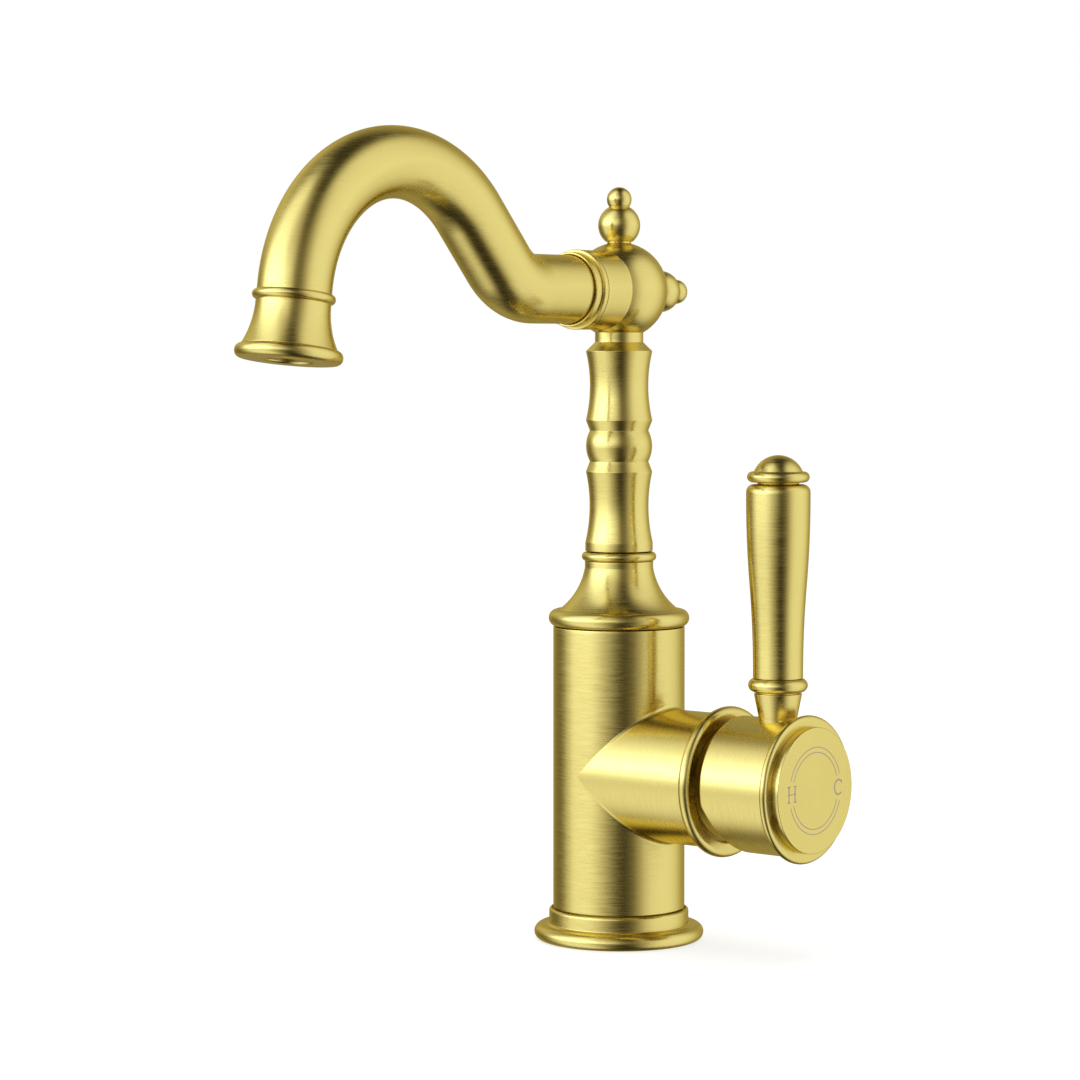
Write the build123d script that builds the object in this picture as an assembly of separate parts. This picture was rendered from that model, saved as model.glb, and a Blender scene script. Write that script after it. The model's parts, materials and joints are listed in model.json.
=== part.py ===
from build123d import *
import math
import os

# Single-lever bathroom mixer with a swivelling swan-neck spout.
# Millimetres. The origin is the centre of the base on the deck, +Z is up,
# the spout reaches along -Y and the lever's boss along +X.

# Clearances
slip = 0.05  # radial, between pieces that are assembled and stay put
running = 0.08  # radial, between a shaft and the bore that it turns in
face_gap = 0.1  # between flat faces that slide on each other
free = 0.4  # between pieces that pass each other without touching

# Cartridge and the boss that holds it
cartridge_radius = 17.5
nut_thread = 1.5  # the nut is this much larger in radius than the cartridge
boss_wall = 3.9
boss_length = 22.2  # from the column's surface to the boss's end
boss_height = 58.6

# Column body
body_height = 109.0
body_wall = 3.5
body_floor = 16.0
seat_height = 6.0  # the shoulder that stands in the flange
shoulder = 2.7  # radial width of that shoulder
port_radius = 4.5  # threaded hose inlets
port_depth = 12.0
port_offset = 7.0
riser_bore = 3.4
riser_wall = 2.2
stud_radius = 3.4
stud_depth = 12.0
stud_offset = 12.0
inlet_drop = 5.0  # inlets below the cartridge's axis
outlet_rise = 8.0  # outlet above the cartridge's axis
outlet_radius = 3.8

# Base flange
flange_overhang = 6.6
flange_thickness = 5.8
flange_height = 10.9
flange_lip = 1.4
flange_groove = 1.8  # radius of the hollow between the flange's rim and its collar
flange_step = 0.3
flange_step_height = 6.4
seal_width = 2.8
seal_depth = 2.0
seal_inset = 1.8  # of the seal's groove from the spigot

# Bell cap between the body and the spout's column
cap_bead_overhang = 1.6
cap_bead_height = 6.0
cap_flare_radius = 23.0
cap_flare_height = 15.6
cap_flare_fall = 0.4  # of the flare's foot below the bead's top
cap_flare_inset = 0.3
cap_neck_radius = 11.9
cap_neck_height = 2.2
cap_top_bead_radius = 13.0
cap_top_bead_height = 3.2
cap_thread_length = 8.0
cap_wall = 3.3
cap_ring_section = 0.85

# Swivel
pivot_radius = 8.0
pivot_bore = 5.2
pivot_chamfer = 0.6
bush_wall = 1.5
bush_flange_radius = 11.2
bush_flange_height = 0.4
swivel_depth = 22.0
swivel_ring_section = 0.72
swivel_ring_heights = (8.0, 14.0)  # above the bush's lower end
clip_height = 1.2
clip_width = 1.6
clip_gap_angle = 60.0

# Turned column
band_radius = 11.75
band_height = 2.8
band_edge = 0.5
shaft_radius = 11.55
shaft_waist = 1.4
shaft_length = 24.0
step_height = 3.6
bulge_radius = 11.5
bulge_length = 10.7
neck_radius = 8.4
neck_length = 3.4
neck_slope = 3.1
column_thread_radius = 7.0
column_thread_length = 5.0

# Ball tee
ball_radius = 16.8
ball_bore = 9.0
collar_wall = 1.9
collar_length = 22.1
collar_thread_length = 1.9
collar_thread_depth = 0.9

# Finials
finial_ball_radius = 7.3
finial_ball_height = 22.6  # from the tee's centre
finial_tip_radius = 4.3
finial_tip_height = 31.6
finial_neck_radius = 4.2
finial_neck_height = 0.7
finial_thread_radius = 2.4
finial_thread_length = 4.5

# Spout
tube_radius = 11.75
tube_wall = 1.3
tube_insert = 11.2  # from the tee's centre to the tube's end
tube_run = 46.7  # from the tee's centre to the first bend
rise_radius = 23.0
rise_angle = 48.0
rise_length = 22.3
arch_radius = 47.0
outlet_tilt = 7.5
drop_length = 3.1
tube_ring_section = 0.9
nut_rim = 0.25
nut_length = 3.1
nut_step = 1.0
nut_edge = 0.3
nut_step_edge = 0.5

# Outlet bell, along the outlet's axis from the middle of its bead
bell_bead_radius = 13.1
bell_bead_height = 3.1
bell_socket = 1.0
bell_flare_radius = 15.1
bell_flare_length = 14.2
bell_flare_sag = 0.9
bell_rim_radius = 17.0
bell_rim_height = 4.5
bell_rim_edge = 1.5
bell_mouth_chamfer = 0.5
bell_bore = 8.8
bell_throat = 6.8
bell_throat_start = 6.0

# Aerator
aerator_radius = 7.8
aerator_length = 5.6
aerator_wall = 1.4
aerator_lip = 0.8
aerator_chamfer = 0.4
aerator_recess = 4.4
aerator_slots = 4
aerator_slot_width = 2.2
aerator_slot_depth = 1.4
gasket_height = 0.8
gasket_inset = 1.2
screen_thickness = 0.7
screen_pitch = 1.7
screen_hole = 1.15
screen_rings = 3

# Trim ring and cartridge nut
ring_overhang = 2.75
ring_thickness = 3.0
ring_clearance = 1.4  # of the ring's hole around the nut's thread
ring_lip = 1.3
ring_lip_thickness = 1.1
nut_flange_thickness = 1.0
nut_dome_length = 3.6
nut_dome_radius = 19.0
nut_dome_inset = 0.8
nut_notches = 6
nut_notch_width = 3.0
nut_notch_depth = 1.4

# Cartridge, along the boss's axis
chamber_depth = 33.6  # from the boss's end
floor_thickness = 3.5
base_height = 6.0
base_step = 2.1
casing_wall = 1.6
casing_edge = 0.5
disc_thickness = 4.5
disc_room = 2.9  # round the discs in the casing, for the moving one's slide
disc_port_radius = 3.0
pocket_wall = 4.5
carrier_height = 6.6
socket_depth = 4.2
ball_play = 0.2
rotor_flange = 2.2
rotor_radius = 10.2
rotor_edge = 0.6
neck_wall = 2.3
casing_neck = 3.0
cartridge_length = 26.5  # from the chamber's floor to the casing's shoulder
stem_width = 7.0
stem_ball_radius = 2.8
stem_neck_radius = 2.2
stem_chamfer = 0.8
stem_arm = 12.0  # from the tilt pin to the ball that drives the disc
stem_reach = 28.0  # from the tilt pin to the outer end
pin_radius = 1.5
pin_inset = 0.6
seal_section = 1.0

# Handle
tilt_limit = 22.0
tilt_relief = 0.4  # degrees that the hub's oblique cut has in hand
pivot_setback = 1.1  # the tilt pin behind the boss's end
hub_gap = 4.9  # from the trim ring to the hub
hub_length = 25.6
hub_wall = 3.5
hub_cavity = 11.0
hub_cut_start = 2.0  # below the axis
hub_edge = 0.8
hub_cove = 0.6
hub_corner = 1.5
hub_flange_overhang = 1.95
hub_flange_thickness = 2.6
hub_recess_depth = 4.4
socket_wall = 4.2
socket_length = 7.0
face_height = 2.9
face_foot = 0.2
face_radius = 21.1
face_cove = 1.5
face_edge = 0.7
face_plug_inset = 5.6
face_plug_wall = 1.6
face_thickness = 2.2
screw_radius = 2.5
screw_length = 8.0
screw_socket = 1.4

# Lever
lever_setback = 15.6  # from the hub's rear edge to the lever's axis
lever_seat = 1.6  # depth of the lever's seat below the hub's crown
lever_foot_radius = 6.4
lever_head_radius = 8.1
lever_stem_length = 9.1  # from the hub's crown to the bead
lever_thread_radius = 4.0
lever_thread_length = 11.0
lever_bead_radius = 10.0
lever_bead_height = 4.6
lever_head_edge = 0.3
lever_rod_radius = 3.0
grip_length = 65.0
grip_small_radius = 8.4
grip_large_radius = 10.8
grip_shoulder = 2.6
grip_cylinder = 1.5  # straight length at each end of the grip's taper
end_bead_radius = 10.5
end_bead_height = 3.6
end_neck_radius = 8.6
end_neck_height = 0.6
end_dome_radius = 8.2
end_dome_height = 5.0
end_thread_depth = 5.0

# Sizes that follow from the ones above
boss_radius = cartridge_radius + nut_thread + boss_wall
body_radius = boss_radius
boss_end = body_radius + boss_length
cavity_radius = body_radius - body_wall
spigot_radius = body_radius - shoulder
nut_radius = cartridge_radius + nut_thread
ring_hole = nut_radius + ring_clearance
chamber_floor = boss_end - chamber_depth
disc_radius = cartridge_radius - casing_wall - disc_room
pin_x = boss_end - pivot_setback
ring_front = boss_end + ring_thickness
hub_rear = ring_front + hub_gap
hub_radius = boss_radius
hub_front = hub_rear + hub_length + hub_flange_thickness
lever_x = hub_rear + lever_setback
cap_flare_foot = body_height + cap_bead_height - cap_flare_fall
cap_neck = cap_flare_foot + cap_flare_height
cap_top = cap_neck + cap_neck_height + cap_top_bead_height
bush_bottom = cap_top - swivel_depth
bush_outer = pivot_radius + running + bush_wall
ledge_radius = pivot_radius + 2 * running
column_foot = cap_top + bush_flange_height + face_gap
ball_height = (
    column_foot
    + band_height
    + 2 * shaft_length
    + 2 * step_height
    + bulge_length
    + neck_slope
    + neck_length
    + math.sqrt(ball_radius**2 - neck_radius**2)
)
collar_radius = tube_radius + collar_wall
bell_waist_radius = tube_radius + slip
shoulder_x = chamber_floor + cartridge_length
bell_bottom = bell_bead_height / 2 + bell_flare_length + bell_rim_height
aerator_top = bell_bottom - aerator_recess - aerator_length


def turned(*outline):
    # Solid of revolution about Z. Each point of the outline is a radius and a
    # height, and a third number is the radius of the arc that ends there:
    # positive bends to the left of the outline's direction, negative to the right.
    edges = []
    for start, end in zip(outline, outline[1:] + outline[:1]):
        if len(end) > 2:
            edges.append(RadiusArc(start[:2], end[:2], end[2]))
        else:
            edges.append(Line(start[:2], end[:2]))
    return Rot(90, 0, 0) * revolve(make_face(Curve() + edges), Axis.Y)


def half_round(radius, low, high):
    # Rim of half-round section, as the part of an outline that climbs its outside.
    section = (high - low) / 2
    inner = radius - section
    return (inner, low), (radius, low + section, -section), (inner, high, -section)


def tube(outer, inner, low, high):
    return turned((inner, low), (outer, low), (outer, high), (inner, high))


def rod(radius, low, high):
    return Pos(0, 0, low) * Cylinder(radius, high - low, align=(Align.CENTER, Align.CENTER, Align.MIN))


def o_ring(inner, section, height):
    return Pos(0, 0, height) * Torus(inner + section, section)


def along_x(solid):
    # Turns a solid made about Z to lie along the boss's axis, at its own height.
    return Plane((0, 0, boss_height), x_dir=(0, 1, 0), z_dir=(1, 0, 0)).location * solid


def along_spout(solid):
    # Turns a solid made about Z to lie along the spout's first run.
    return Plane((0, 0, ball_height), x_dir=(1, 0, 0), z_dir=(0, -1, 0)).location * solid


def backwards(solid):
    # Turns a solid made about Z to point from the tee's centre away from the spout.
    return Plane((0, 0, ball_height), x_dir=(1, 0, 0), z_dir=(0, 1, 0)).location * solid


def upwards(solid):
    return Pos(0, 0, ball_height) * solid


def on_lever(solid):
    return Pos(lever_x, 0, boss_height + hub_radius) * solid


# Spout's centre line, drawn as distance from the column and height.
first_run = Line((tube_insert, ball_height), (tube_run, ball_height))
first_bend = JernArc(first_run @ 1, first_run % 1, rise_radius, rise_angle)
climb = Line(first_bend @ 1, first_bend @ 1 + (first_bend % 1) * rise_length)
arch = JernArc(climb @ 1, climb % 1, arch_radius, outlet_tilt - 90 - rise_angle)
drop = Line(arch @ 1, arch @ 1 + (arch % 1) * drop_length)
tip = Line(drop @ 1, drop @ 1 + (drop % 1) * (bell_socket - slip))
spout_plane = Plane((0, 0, 0), x_dir=(0, -1, 0), z_dir=(-1, 0, 0))
bead_centre = drop @ 1
outlet_plane = Plane(
    (0, -bead_centre.X, bead_centre.Y),
    x_dir=(1, 0, 0),
    z_dir=(0, -math.sin(math.radians(outlet_tilt)), -math.cos(math.radians(outlet_tilt))),
)


def at_outlet(solid):
    # Turns a solid made about Z to lie along the outlet, heights running down it.
    return outlet_plane.location * solid


def make_base_flange():
    rim = body_radius + flange_overhang
    collar = body_radius + flange_lip
    groove = spigot_radius + seal_inset
    return turned(
        (spigot_radius + slip, 0),
        (groove, 0),
        (groove, seal_depth),
        (groove + seal_width, seal_depth),
        (groove + seal_width, 0),
        *half_round(rim, 0, flange_thickness),
        (collar + flange_step, flange_step_height, flange_groove),
        (collar, flange_step_height),
        (collar, flange_height - flange_lip + slip),
        (body_radius + slip, flange_height, slip - flange_lip),
        (body_radius + slip, seat_height),
        (spigot_radius + slip, seat_height),
    )


def make_base_seal():
    inner = spigot_radius + seal_inset + slip
    return tube(inner + seal_width - 2 * slip, inner, 0, seal_depth - slip)


def make_main_body():
    column = rod(spigot_radius, 0, seat_height + slip)
    column += rod(body_radius, seat_height + slip, body_height)
    column -= rod(cavity_radius, body_floor, body_height)
    boss_start = chamber_floor - floor_thickness
    column += along_x(rod(boss_radius, boss_start, boss_end))
    inlet_height = boss_height - inlet_drop
    pipe = riser_bore + riser_wall
    for side in (-1, 1):
        riser = Pos(0, side * port_offset) * rod(pipe, body_floor - riser_wall, inlet_height)
        elbow = Pos(0, side * port_offset, inlet_height) * Sphere(pipe)
        link = along_x(Pos(side * port_offset, -inlet_drop) * rod(pipe, 0, chamber_floor))
        column += riser + elbow + link
    column -= along_x(rod(cartridge_radius + free / 2, chamber_floor, boss_end))
    column -= along_x(rod(nut_radius, shoulder_x - free, boss_end))
    for side in (-1, 1):
        column -= Pos(0, side * port_offset) * rod(port_radius, 0, port_depth)
        column -= Pos(0, side * port_offset) * rod(riser_bore, port_depth, inlet_height)
        column -= Pos(0, side * port_offset, inlet_height) * Sphere(riser_bore)
        column -= along_x(Pos(side * port_offset, -inlet_drop) * rod(riser_bore, 0, chamber_floor))
    column -= along_x(Pos(0, outlet_rise) * rod(outlet_radius, boss_start, chamber_floor))
    column -= Pos(-stud_offset, 0) * rod(stud_radius, 0, stud_depth)
    return column


def make_bell_cap():
    thread = cavity_radius - slip
    foot = body_height - cap_thread_length
    bead = body_radius + cap_bead_overhang
    bead_section = cap_bead_height / 2
    ring_groove = thread - 2 * cap_ring_section
    ring_height = foot + cap_thread_length / 2
    return turned(
        (thread - cap_wall, foot),
        (thread, foot),
        (thread, ring_height - cap_ring_section - slip),
        (ring_groove, ring_height - cap_ring_section - slip),
        (ring_groove, ring_height + cap_ring_section + slip),
        (thread, ring_height + cap_ring_section + slip),
        (thread, body_height + slip),
        (bead - bead_section, body_height + slip),
        (bead, body_height + bead_section, slip - bead_section),
        (bead - bead_section, body_height + cap_bead_height, -bead_section),
        (bead - bead_section - cap_flare_inset, cap_flare_foot),
        (cap_neck_radius, cap_neck, cap_flare_radius),
        (cap_neck_radius, cap_top - cap_top_bead_height),
        *half_round(cap_top_bead_radius, cap_top - cap_top_bead_height, cap_top),
        (bush_outer + slip, cap_top),
        (bush_outer + slip, bush_bottom - slip),
        (ledge_radius, bush_bottom - slip),
        (ledge_radius, bush_bottom - bush_wall),
        (bush_outer + clip_width, bush_bottom - bush_wall),
        (thread - cap_wall, body_height - cap_wall / 2),
    )


def make_bell_cap_o_ring():
    thread = cavity_radius - slip
    ring_height = body_height - cap_thread_length / 2
    return o_ring(thread - 2 * cap_ring_section + slip, cap_ring_section - slip / 2, ring_height)


def make_swivel_bush():
    bore = pivot_radius + running
    return turned(
        (bore, bush_bottom),
        (bush_outer, bush_bottom),
        (bush_outer, cap_top + slip),
        (bush_flange_radius, cap_top + slip),
        (bush_flange_radius, cap_top + bush_flange_height),
        (bore, cap_top + bush_flange_height),
    )


clip_top = bush_bottom - bush_wall - face_gap
column_bottom = clip_top - 2 * clip_height - pivot_chamfer


def make_turned_column():
    ring_room = swivel_ring_section + slip
    ring_floor = pivot_radius - 2 * swivel_ring_section
    outline = [
        (pivot_bore, column_bottom),
        (pivot_radius - pivot_chamfer, column_bottom),
        (pivot_radius, column_bottom + pivot_chamfer),
        (pivot_radius, clip_top - clip_height - slip),
        (pivot_radius - clip_width / 2, clip_top - clip_height - slip),
        (pivot_radius - clip_width / 2, clip_top + slip),
        (pivot_radius, clip_top + slip),
    ]
    for height in swivel_ring_heights:
        middle = bush_bottom + height
        outline += [
            (pivot_radius, middle - ring_room),
            (ring_floor, middle - ring_room),
            (ring_floor, middle + ring_room),
            (pivot_radius, middle + ring_room),
        ]
    waist_arc = (shaft_length**2 / 4 + shaft_waist**2) / (2 * shaft_waist)
    groove = math.sqrt(bulge_radius**2 - bulge_length**2 / 4)
    shaft_foot = column_foot + band_height
    lower_edge = shaft_foot + shaft_length
    bulge_foot = lower_edge + step_height
    upper_edge = bulge_foot + bulge_length + step_height
    neck_foot = upper_edge + shaft_length + neck_slope
    neck_top = neck_foot + neck_length
    outline += [
        (pivot_radius, column_foot),
        (band_radius - band_edge, column_foot),
        (band_radius, column_foot + band_edge),
        (band_radius, shaft_foot),
        (shaft_radius, lower_edge, waist_arc),
        (groove, bulge_foot),
        (groove, bulge_foot + bulge_length, -bulge_radius),
        (shaft_radius, upper_edge),
        (shaft_radius, upper_edge + shaft_length, waist_arc),
        (neck_radius, neck_foot),
        (neck_radius, neck_top),
        (column_thread_radius, neck_top),
        (column_thread_radius, neck_top + column_thread_length),
        (pivot_bore, neck_top + column_thread_length),
    ]
    return turned(*outline)


def make_swivel_o_rings():
    floor = pivot_radius - 2 * swivel_ring_section + slip
    rings = [o_ring(floor, swivel_ring_section - slip / 2, bush_bottom + h) for h in swivel_ring_heights]
    return Compound(children=rings)


def make_swivel_clip():
    # Snap ring with a gap, in the groove below the bell cap's inner ledge.
    inner = pivot_radius - clip_width / 2 + slip
    ring = tube(inner + clip_width, inner, clip_top - clip_height, clip_top)
    half_gap = math.radians(clip_gap_angle / 2)
    reach = 2 * (inner + clip_width)
    wedge = make_face(
        Polyline(
            (0, 0),
            (reach * math.cos(half_gap), -reach * math.sin(half_gap)),
            (reach * math.cos(half_gap), reach * math.sin(half_gap)),
            close=True,
        )
    )
    return ring - Pos(0, 0, clip_top - 2 * clip_height) * extrude(wedge, 3 * clip_height, dir=(0, 0, 1))


def make_ball_tee():
    seat = math.sqrt(ball_radius**2 - neck_radius**2)
    finial_seat = math.sqrt(ball_radius**2 - finial_neck_radius**2)
    tee = upwards(Sphere(ball_radius))
    tee += along_spout(rod(collar_radius, 0, collar_length))
    thread = collar_radius - collar_thread_depth
    tee += along_spout(rod(thread, collar_length, collar_length + collar_thread_length))
    socket_floor = tube_insert - 2 * tube_ring_section - slip
    tee -= along_spout(rod(ball_bore, -ball_bore / 2, socket_floor))
    tee -= along_spout(rod(tube_radius + slip, socket_floor, collar_length + collar_thread_length))
    tee -= upwards(rod(neck_radius + slip, -ball_radius, slip - seat))
    tee -= upwards(rod(column_thread_radius + slip, -seat, 0))
    hole_end = finial_seat - finial_thread_length - slip
    for place in (upwards, backwards):
        tee -= place(rod(finial_thread_radius + slip, hole_end, ball_radius))
        tee -= place(rod(finial_neck_radius + slip, finial_seat, ball_radius + free))
    return tee


def make_finial():
    # Two balls in line on a short neck, with a threaded tail.
    foot = math.sqrt(ball_radius**2 - finial_neck_radius**2) + slip
    collar = foot + finial_neck_height
    joint = finial_ball_height + (
        (finial_tip_height - finial_ball_height) ** 2 + finial_ball_radius**2 - finial_tip_radius**2
    ) / (2 * (finial_tip_height - finial_ball_height))
    joint_radius = math.sqrt(finial_ball_radius**2 - (joint - finial_ball_height) ** 2)
    collar_ball = math.sqrt(finial_ball_radius**2 - (finial_ball_height - collar) ** 2)
    return turned(
        (0, foot - finial_thread_length),
        (finial_thread_radius, foot - finial_thread_length),
        (finial_thread_radius, foot),
        (finial_neck_radius, foot),
        (finial_neck_radius, collar),
        (collar_ball, collar),
        (finial_ball_radius, finial_ball_height, -finial_ball_radius),
        (joint_radius, joint, -finial_ball_radius),
        (finial_tip_radius, finial_tip_height, -finial_tip_radius),
        (0, finial_tip_height + finial_tip_radius, -finial_tip_radius),
    )


def make_spout_nut():
    start = collar_length + slip
    rim = collar_radius + nut_rim
    end = start + nut_length
    thread = collar_radius - collar_thread_depth + slip
    thread_end = collar_length + collar_thread_length + slip
    return along_spout(
        turned(
            (thread, start),
            (rim - nut_edge, start),
            (rim, start + nut_edge, -nut_edge),
            (rim, end - nut_step - nut_edge),
            (rim - nut_edge, end - nut_step, -nut_edge),
            (rim - nut_step, end - nut_step),
            (rim - nut_step, end - nut_step_edge),
            (rim - nut_step - nut_step_edge, end, -nut_step_edge),
            (tube_radius + slip, end),
            (tube_radius + slip, thread_end),
            (thread, thread_end),
        )
    )


def make_spout_tube():
    path = spout_plane.location * Wire([first_run, first_bend, climb, arch, drop, tip])
    section = Plane(path @ 0, z_dir=path % 0)
    outer = sweep(section * Circle(tube_radius), path=path)
    return outer - sweep(section * Circle(tube_radius - tube_wall), path=path)


def make_spout_o_ring():
    return along_spout(
        o_ring(
            tube_radius - 2 * tube_ring_section - slip,
            tube_ring_section - slip / 2,
            tube_insert - tube_ring_section - slip / 2,
        )
    )


def make_outlet_bell():
    half_bead = bell_bead_height / 2
    bead_depth = bell_bead_radius - bell_waist_radius
    bead_arc = (bead_depth**2 + half_bead**2) / (2 * bead_depth)
    rim_start = bell_bottom - bell_rim_height
    chord = math.hypot(bell_flare_radius - bell_waist_radius, bell_flare_length)
    flare_arc = (chord**2 / 4 + bell_flare_sag**2) / (2 * bell_flare_sag)
    seat = aerator_top - gasket_height
    return at_outlet(
        turned(
            (bell_waist_radius, -half_bead),
            (bell_bead_radius, 0, -bead_arc),
            (bell_waist_radius, half_bead, -bead_arc),
            (bell_flare_radius, rim_start, flare_arc),
            (bell_rim_radius - bell_rim_edge, rim_start),
            (bell_rim_radius, rim_start + bell_rim_edge, -bell_rim_edge),
            (bell_rim_radius, bell_bottom - bell_rim_edge),
            (bell_rim_radius - bell_rim_edge, bell_bottom, -bell_rim_edge),
            (aerator_radius + slip + bell_mouth_chamfer, bell_bottom),
            (aerator_radius + slip, bell_bottom - bell_mouth_chamfer),
            (aerator_radius + slip, seat),
            (bell_throat, seat),
            (bell_throat, bell_throat_start),
            (bell_bore, bell_throat_start),
            (bell_bore, bell_socket),
            (bell_waist_radius, bell_socket),
        )
    )


screen_seat = aerator_top + aerator_length - 2 * aerator_slot_depth - screen_thickness


def make_aerator_housing():
    bore = aerator_radius - aerator_wall
    bottom = aerator_top + aerator_length
    housing = turned(
        (bore - aerator_lip, aerator_top),
        (aerator_radius, aerator_top),
        (aerator_radius, bottom - aerator_chamfer),
        (aerator_radius - aerator_chamfer, bottom),
        (bore, bottom),
        (bore, screen_seat - slip),
        (bore - aerator_lip, screen_seat - slip),
    )
    for turn in range(aerator_slots):
        slot = Pos(bore + aerator_wall / 2, 0, bottom) * Box(
            3 * aerator_wall, aerator_slot_width, 2 * aerator_slot_depth
        )
        housing -= Rot(0, 0, turn * 360 / aerator_slots) * slot
    return at_outlet(housing)


def make_aerator_gasket():
    seat = aerator_top - gasket_height
    return at_outlet(tube(aerator_radius, bell_throat - gasket_inset, seat + slip, aerator_top - slip))


def make_aerator_screen():
    # Round plate with a honeycomb of square openings.
    plate = rod(aerator_radius - aerator_wall - slip, screen_seat, screen_seat + screen_thickness)
    spots = []
    for row in range(-screen_rings, screen_rings + 1):
        for step in range(2 * screen_rings + 1 - abs(row)):
            across = (step - (2 * screen_rings - abs(row)) / 2) * screen_pitch
            spots.append((across, row * screen_pitch * math.sqrt(3) / 2))
    for across, along in spots:
        hole = Box(screen_hole, screen_hole, 3 * screen_thickness)
        plate -= Pos(across, along, screen_seat) * hole
    return at_outlet(plate)


def make_boss_ring():
    rim = boss_radius + ring_overhang
    half = ring_thickness / 2
    start = boss_end + slip
    return along_x(
        turned(
            (ring_hole - ring_lip, start),
            (rim - half, start),
            (rim, start + half, -half),
            (rim - half, start + ring_thickness, -half),
            (ring_hole, start + ring_thickness),
            (ring_hole, start + ring_lip_thickness),
            (ring_hole - ring_lip, start + ring_lip_thickness),
        )
    )


def make_cartridge_nut():
    # Ring nut with a domed front that covers the casing's neck.
    flange = boss_end + 2 * slip + ring_lip_thickness
    front = flange + nut_flange_thickness
    bore = rotor_radius + neck_wall + 2 * slip
    mouth = rotor_radius + free
    nut = turned(
        (bore, shoulder_x + slip),
        (nut_radius - slip, shoulder_x + slip),
        (nut_radius - slip, flange),
        (ring_hole - slip, flange),
        (ring_hole - slip, front),
        (ring_hole - nut_notch_depth - nut_dome_inset, front),
        (mouth, front + nut_dome_length, -nut_dome_radius),
        (mouth, shoulder_x + casing_neck + free),
        (bore, shoulder_x + casing_neck + free),
    )
    for turn in range(nut_notches):
        notch = Pos(ring_hole, 0, front) * Box(
            2 * nut_notch_depth, nut_notch_width, 2 * nut_flange_thickness
        )
        nut -= Rot(0, 0, turn * 360 / nut_notches) * notch
    return along_x(nut)


base_top = chamber_floor + free + base_height
fixed_disc_seat = base_top - disc_thickness / 2
fixed_disc_top = fixed_disc_seat + disc_thickness
carrier_foot = fixed_disc_top + running + disc_thickness
disc_rest = -stem_arm * math.sin(math.radians(tilt_limit)) / 2  # moving disc below the axis when shut
inner_radius = cartridge_radius - casing_wall


def port_pattern(radius, low, high):
    # The two inlets and the outlet, as cutters through the cartridge's lower pieces.
    spots = [(-port_offset, -inlet_drop), (port_offset, -inlet_drop), (0, outlet_rise)]
    return [Pos(*spot) * rod(radius, low, high) for spot in spots]


def make_cartridge_base():
    foot = chamber_floor + free
    base = turned(
        (0, foot),
        (cartridge_radius, foot),
        (cartridge_radius, foot + base_step),
        (inner_radius - slip, foot + base_step),
        (inner_radius - slip, base_top),
        (disc_radius + slip, base_top),
        (disc_radius + slip, fixed_disc_seat - slip),
        (0, fixed_disc_seat - slip),
    )
    for cutter in port_pattern(disc_port_radius, foot, base_top):
        base -= cutter
    for recess in port_pattern(disc_port_radius + 2 * seal_section, foot, foot + seal_section):
        base -= recess
    return along_x(base)


def make_cartridge_seals():
    # Rubber rings that stand out of the base's recesses on to the chamber's floor.
    height = chamber_floor + free + seal_section
    outer = port_pattern(disc_port_radius + 2 * seal_section - slip, chamber_floor + slip, height - slip)
    inner = port_pattern(disc_port_radius, chamber_floor, height)
    return Compound(children=[along_x(ring - bore) for ring, bore in zip(outer, inner)])


def make_fixed_disc():
    disc = rod(disc_radius, fixed_disc_seat, fixed_disc_top)
    for cutter in port_pattern(disc_port_radius, fixed_disc_seat, fixed_disc_top):
        disc -= cutter
    return along_x(disc)


def make_moving_disc():
    # Its blind pocket joins the inlets to the outlet as it slides and turns.
    low = fixed_disc_top + running
    pocket = Pos(0, disc_rest) * rod(disc_radius - pocket_wall, low, low + disc_thickness / 2)
    return along_x(Pos(0, disc_rest) * rod(disc_radius, low, carrier_foot) - pocket)


def make_disc_carrier():
    top = carrier_foot + carrier_height
    carrier = Pos(0, disc_rest) * rod(disc_radius, carrier_foot + slip, top)
    carrier -= rod(stem_ball_radius + ball_play, top - socket_depth, top)
    return along_x(carrier)


def make_cartridge_casing():
    bore = rotor_radius + running
    return along_x(
        turned(
            (inner_radius, chamber_floor + free + base_step + slip),
            (cartridge_radius, chamber_floor + free + base_step + slip),
            (cartridge_radius, shoulder_x - casing_edge),
            (cartridge_radius - casing_edge, shoulder_x),
            (bore + neck_wall - running, shoulder_x),
            (bore + neck_wall - running, shoulder_x + casing_neck),
            (bore, shoulder_x + casing_neck),
            (bore, shoulder_x - casing_wall),
            (inner_radius, shoulder_x - casing_wall),
        )
    )


rotor_end = boss_end + ring_lip_thickness + nut_flange_thickness + nut_dome_length


def make_cartridge_rotor():
    # The stem's fork: a flange under the casing's shoulder and a head with a slot that
    # leaves the stem room to swing about its pin.
    flange_top = shoulder_x - casing_wall - face_gap
    rotor = turned(
        (0, flange_top - rotor_flange),
        (inner_radius - free, flange_top - rotor_flange),
        (inner_radius - free, flange_top),
        (rotor_radius, flange_top),
        (rotor_radius, rotor_end - rotor_edge),
        (rotor_radius - rotor_edge, rotor_end),
        (0, rotor_end),
    )
    swing = math.radians(tilt_limit)
    half = stem_width / 2 / math.cos(swing) + free
    top = (pin_x - flange_top + rotor_flange) * math.tan(swing) + half
    bottom = (rotor_end - pin_x) * math.tan(swing) + half
    length = rotor_end - flange_top + rotor_flange
    slot = Box(stem_width + 2 * running, top + bottom, length + 2 * free)
    rotor -= Pos(0, (top - bottom) / 2, rotor_end - length / 2) * slot
    rotor -= Pos(0, 0, pin_x) * Rot(0, 90, 0) * Cylinder(pin_radius + slip / 2, 3 * rotor_radius)
    return along_x(rotor)


def make_stem_pin():
    return along_x(Pos(0, 0, pin_x) * Rot(0, 90, 0) * Cylinder(pin_radius, 2 * (rotor_radius - pin_inset)))


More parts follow.
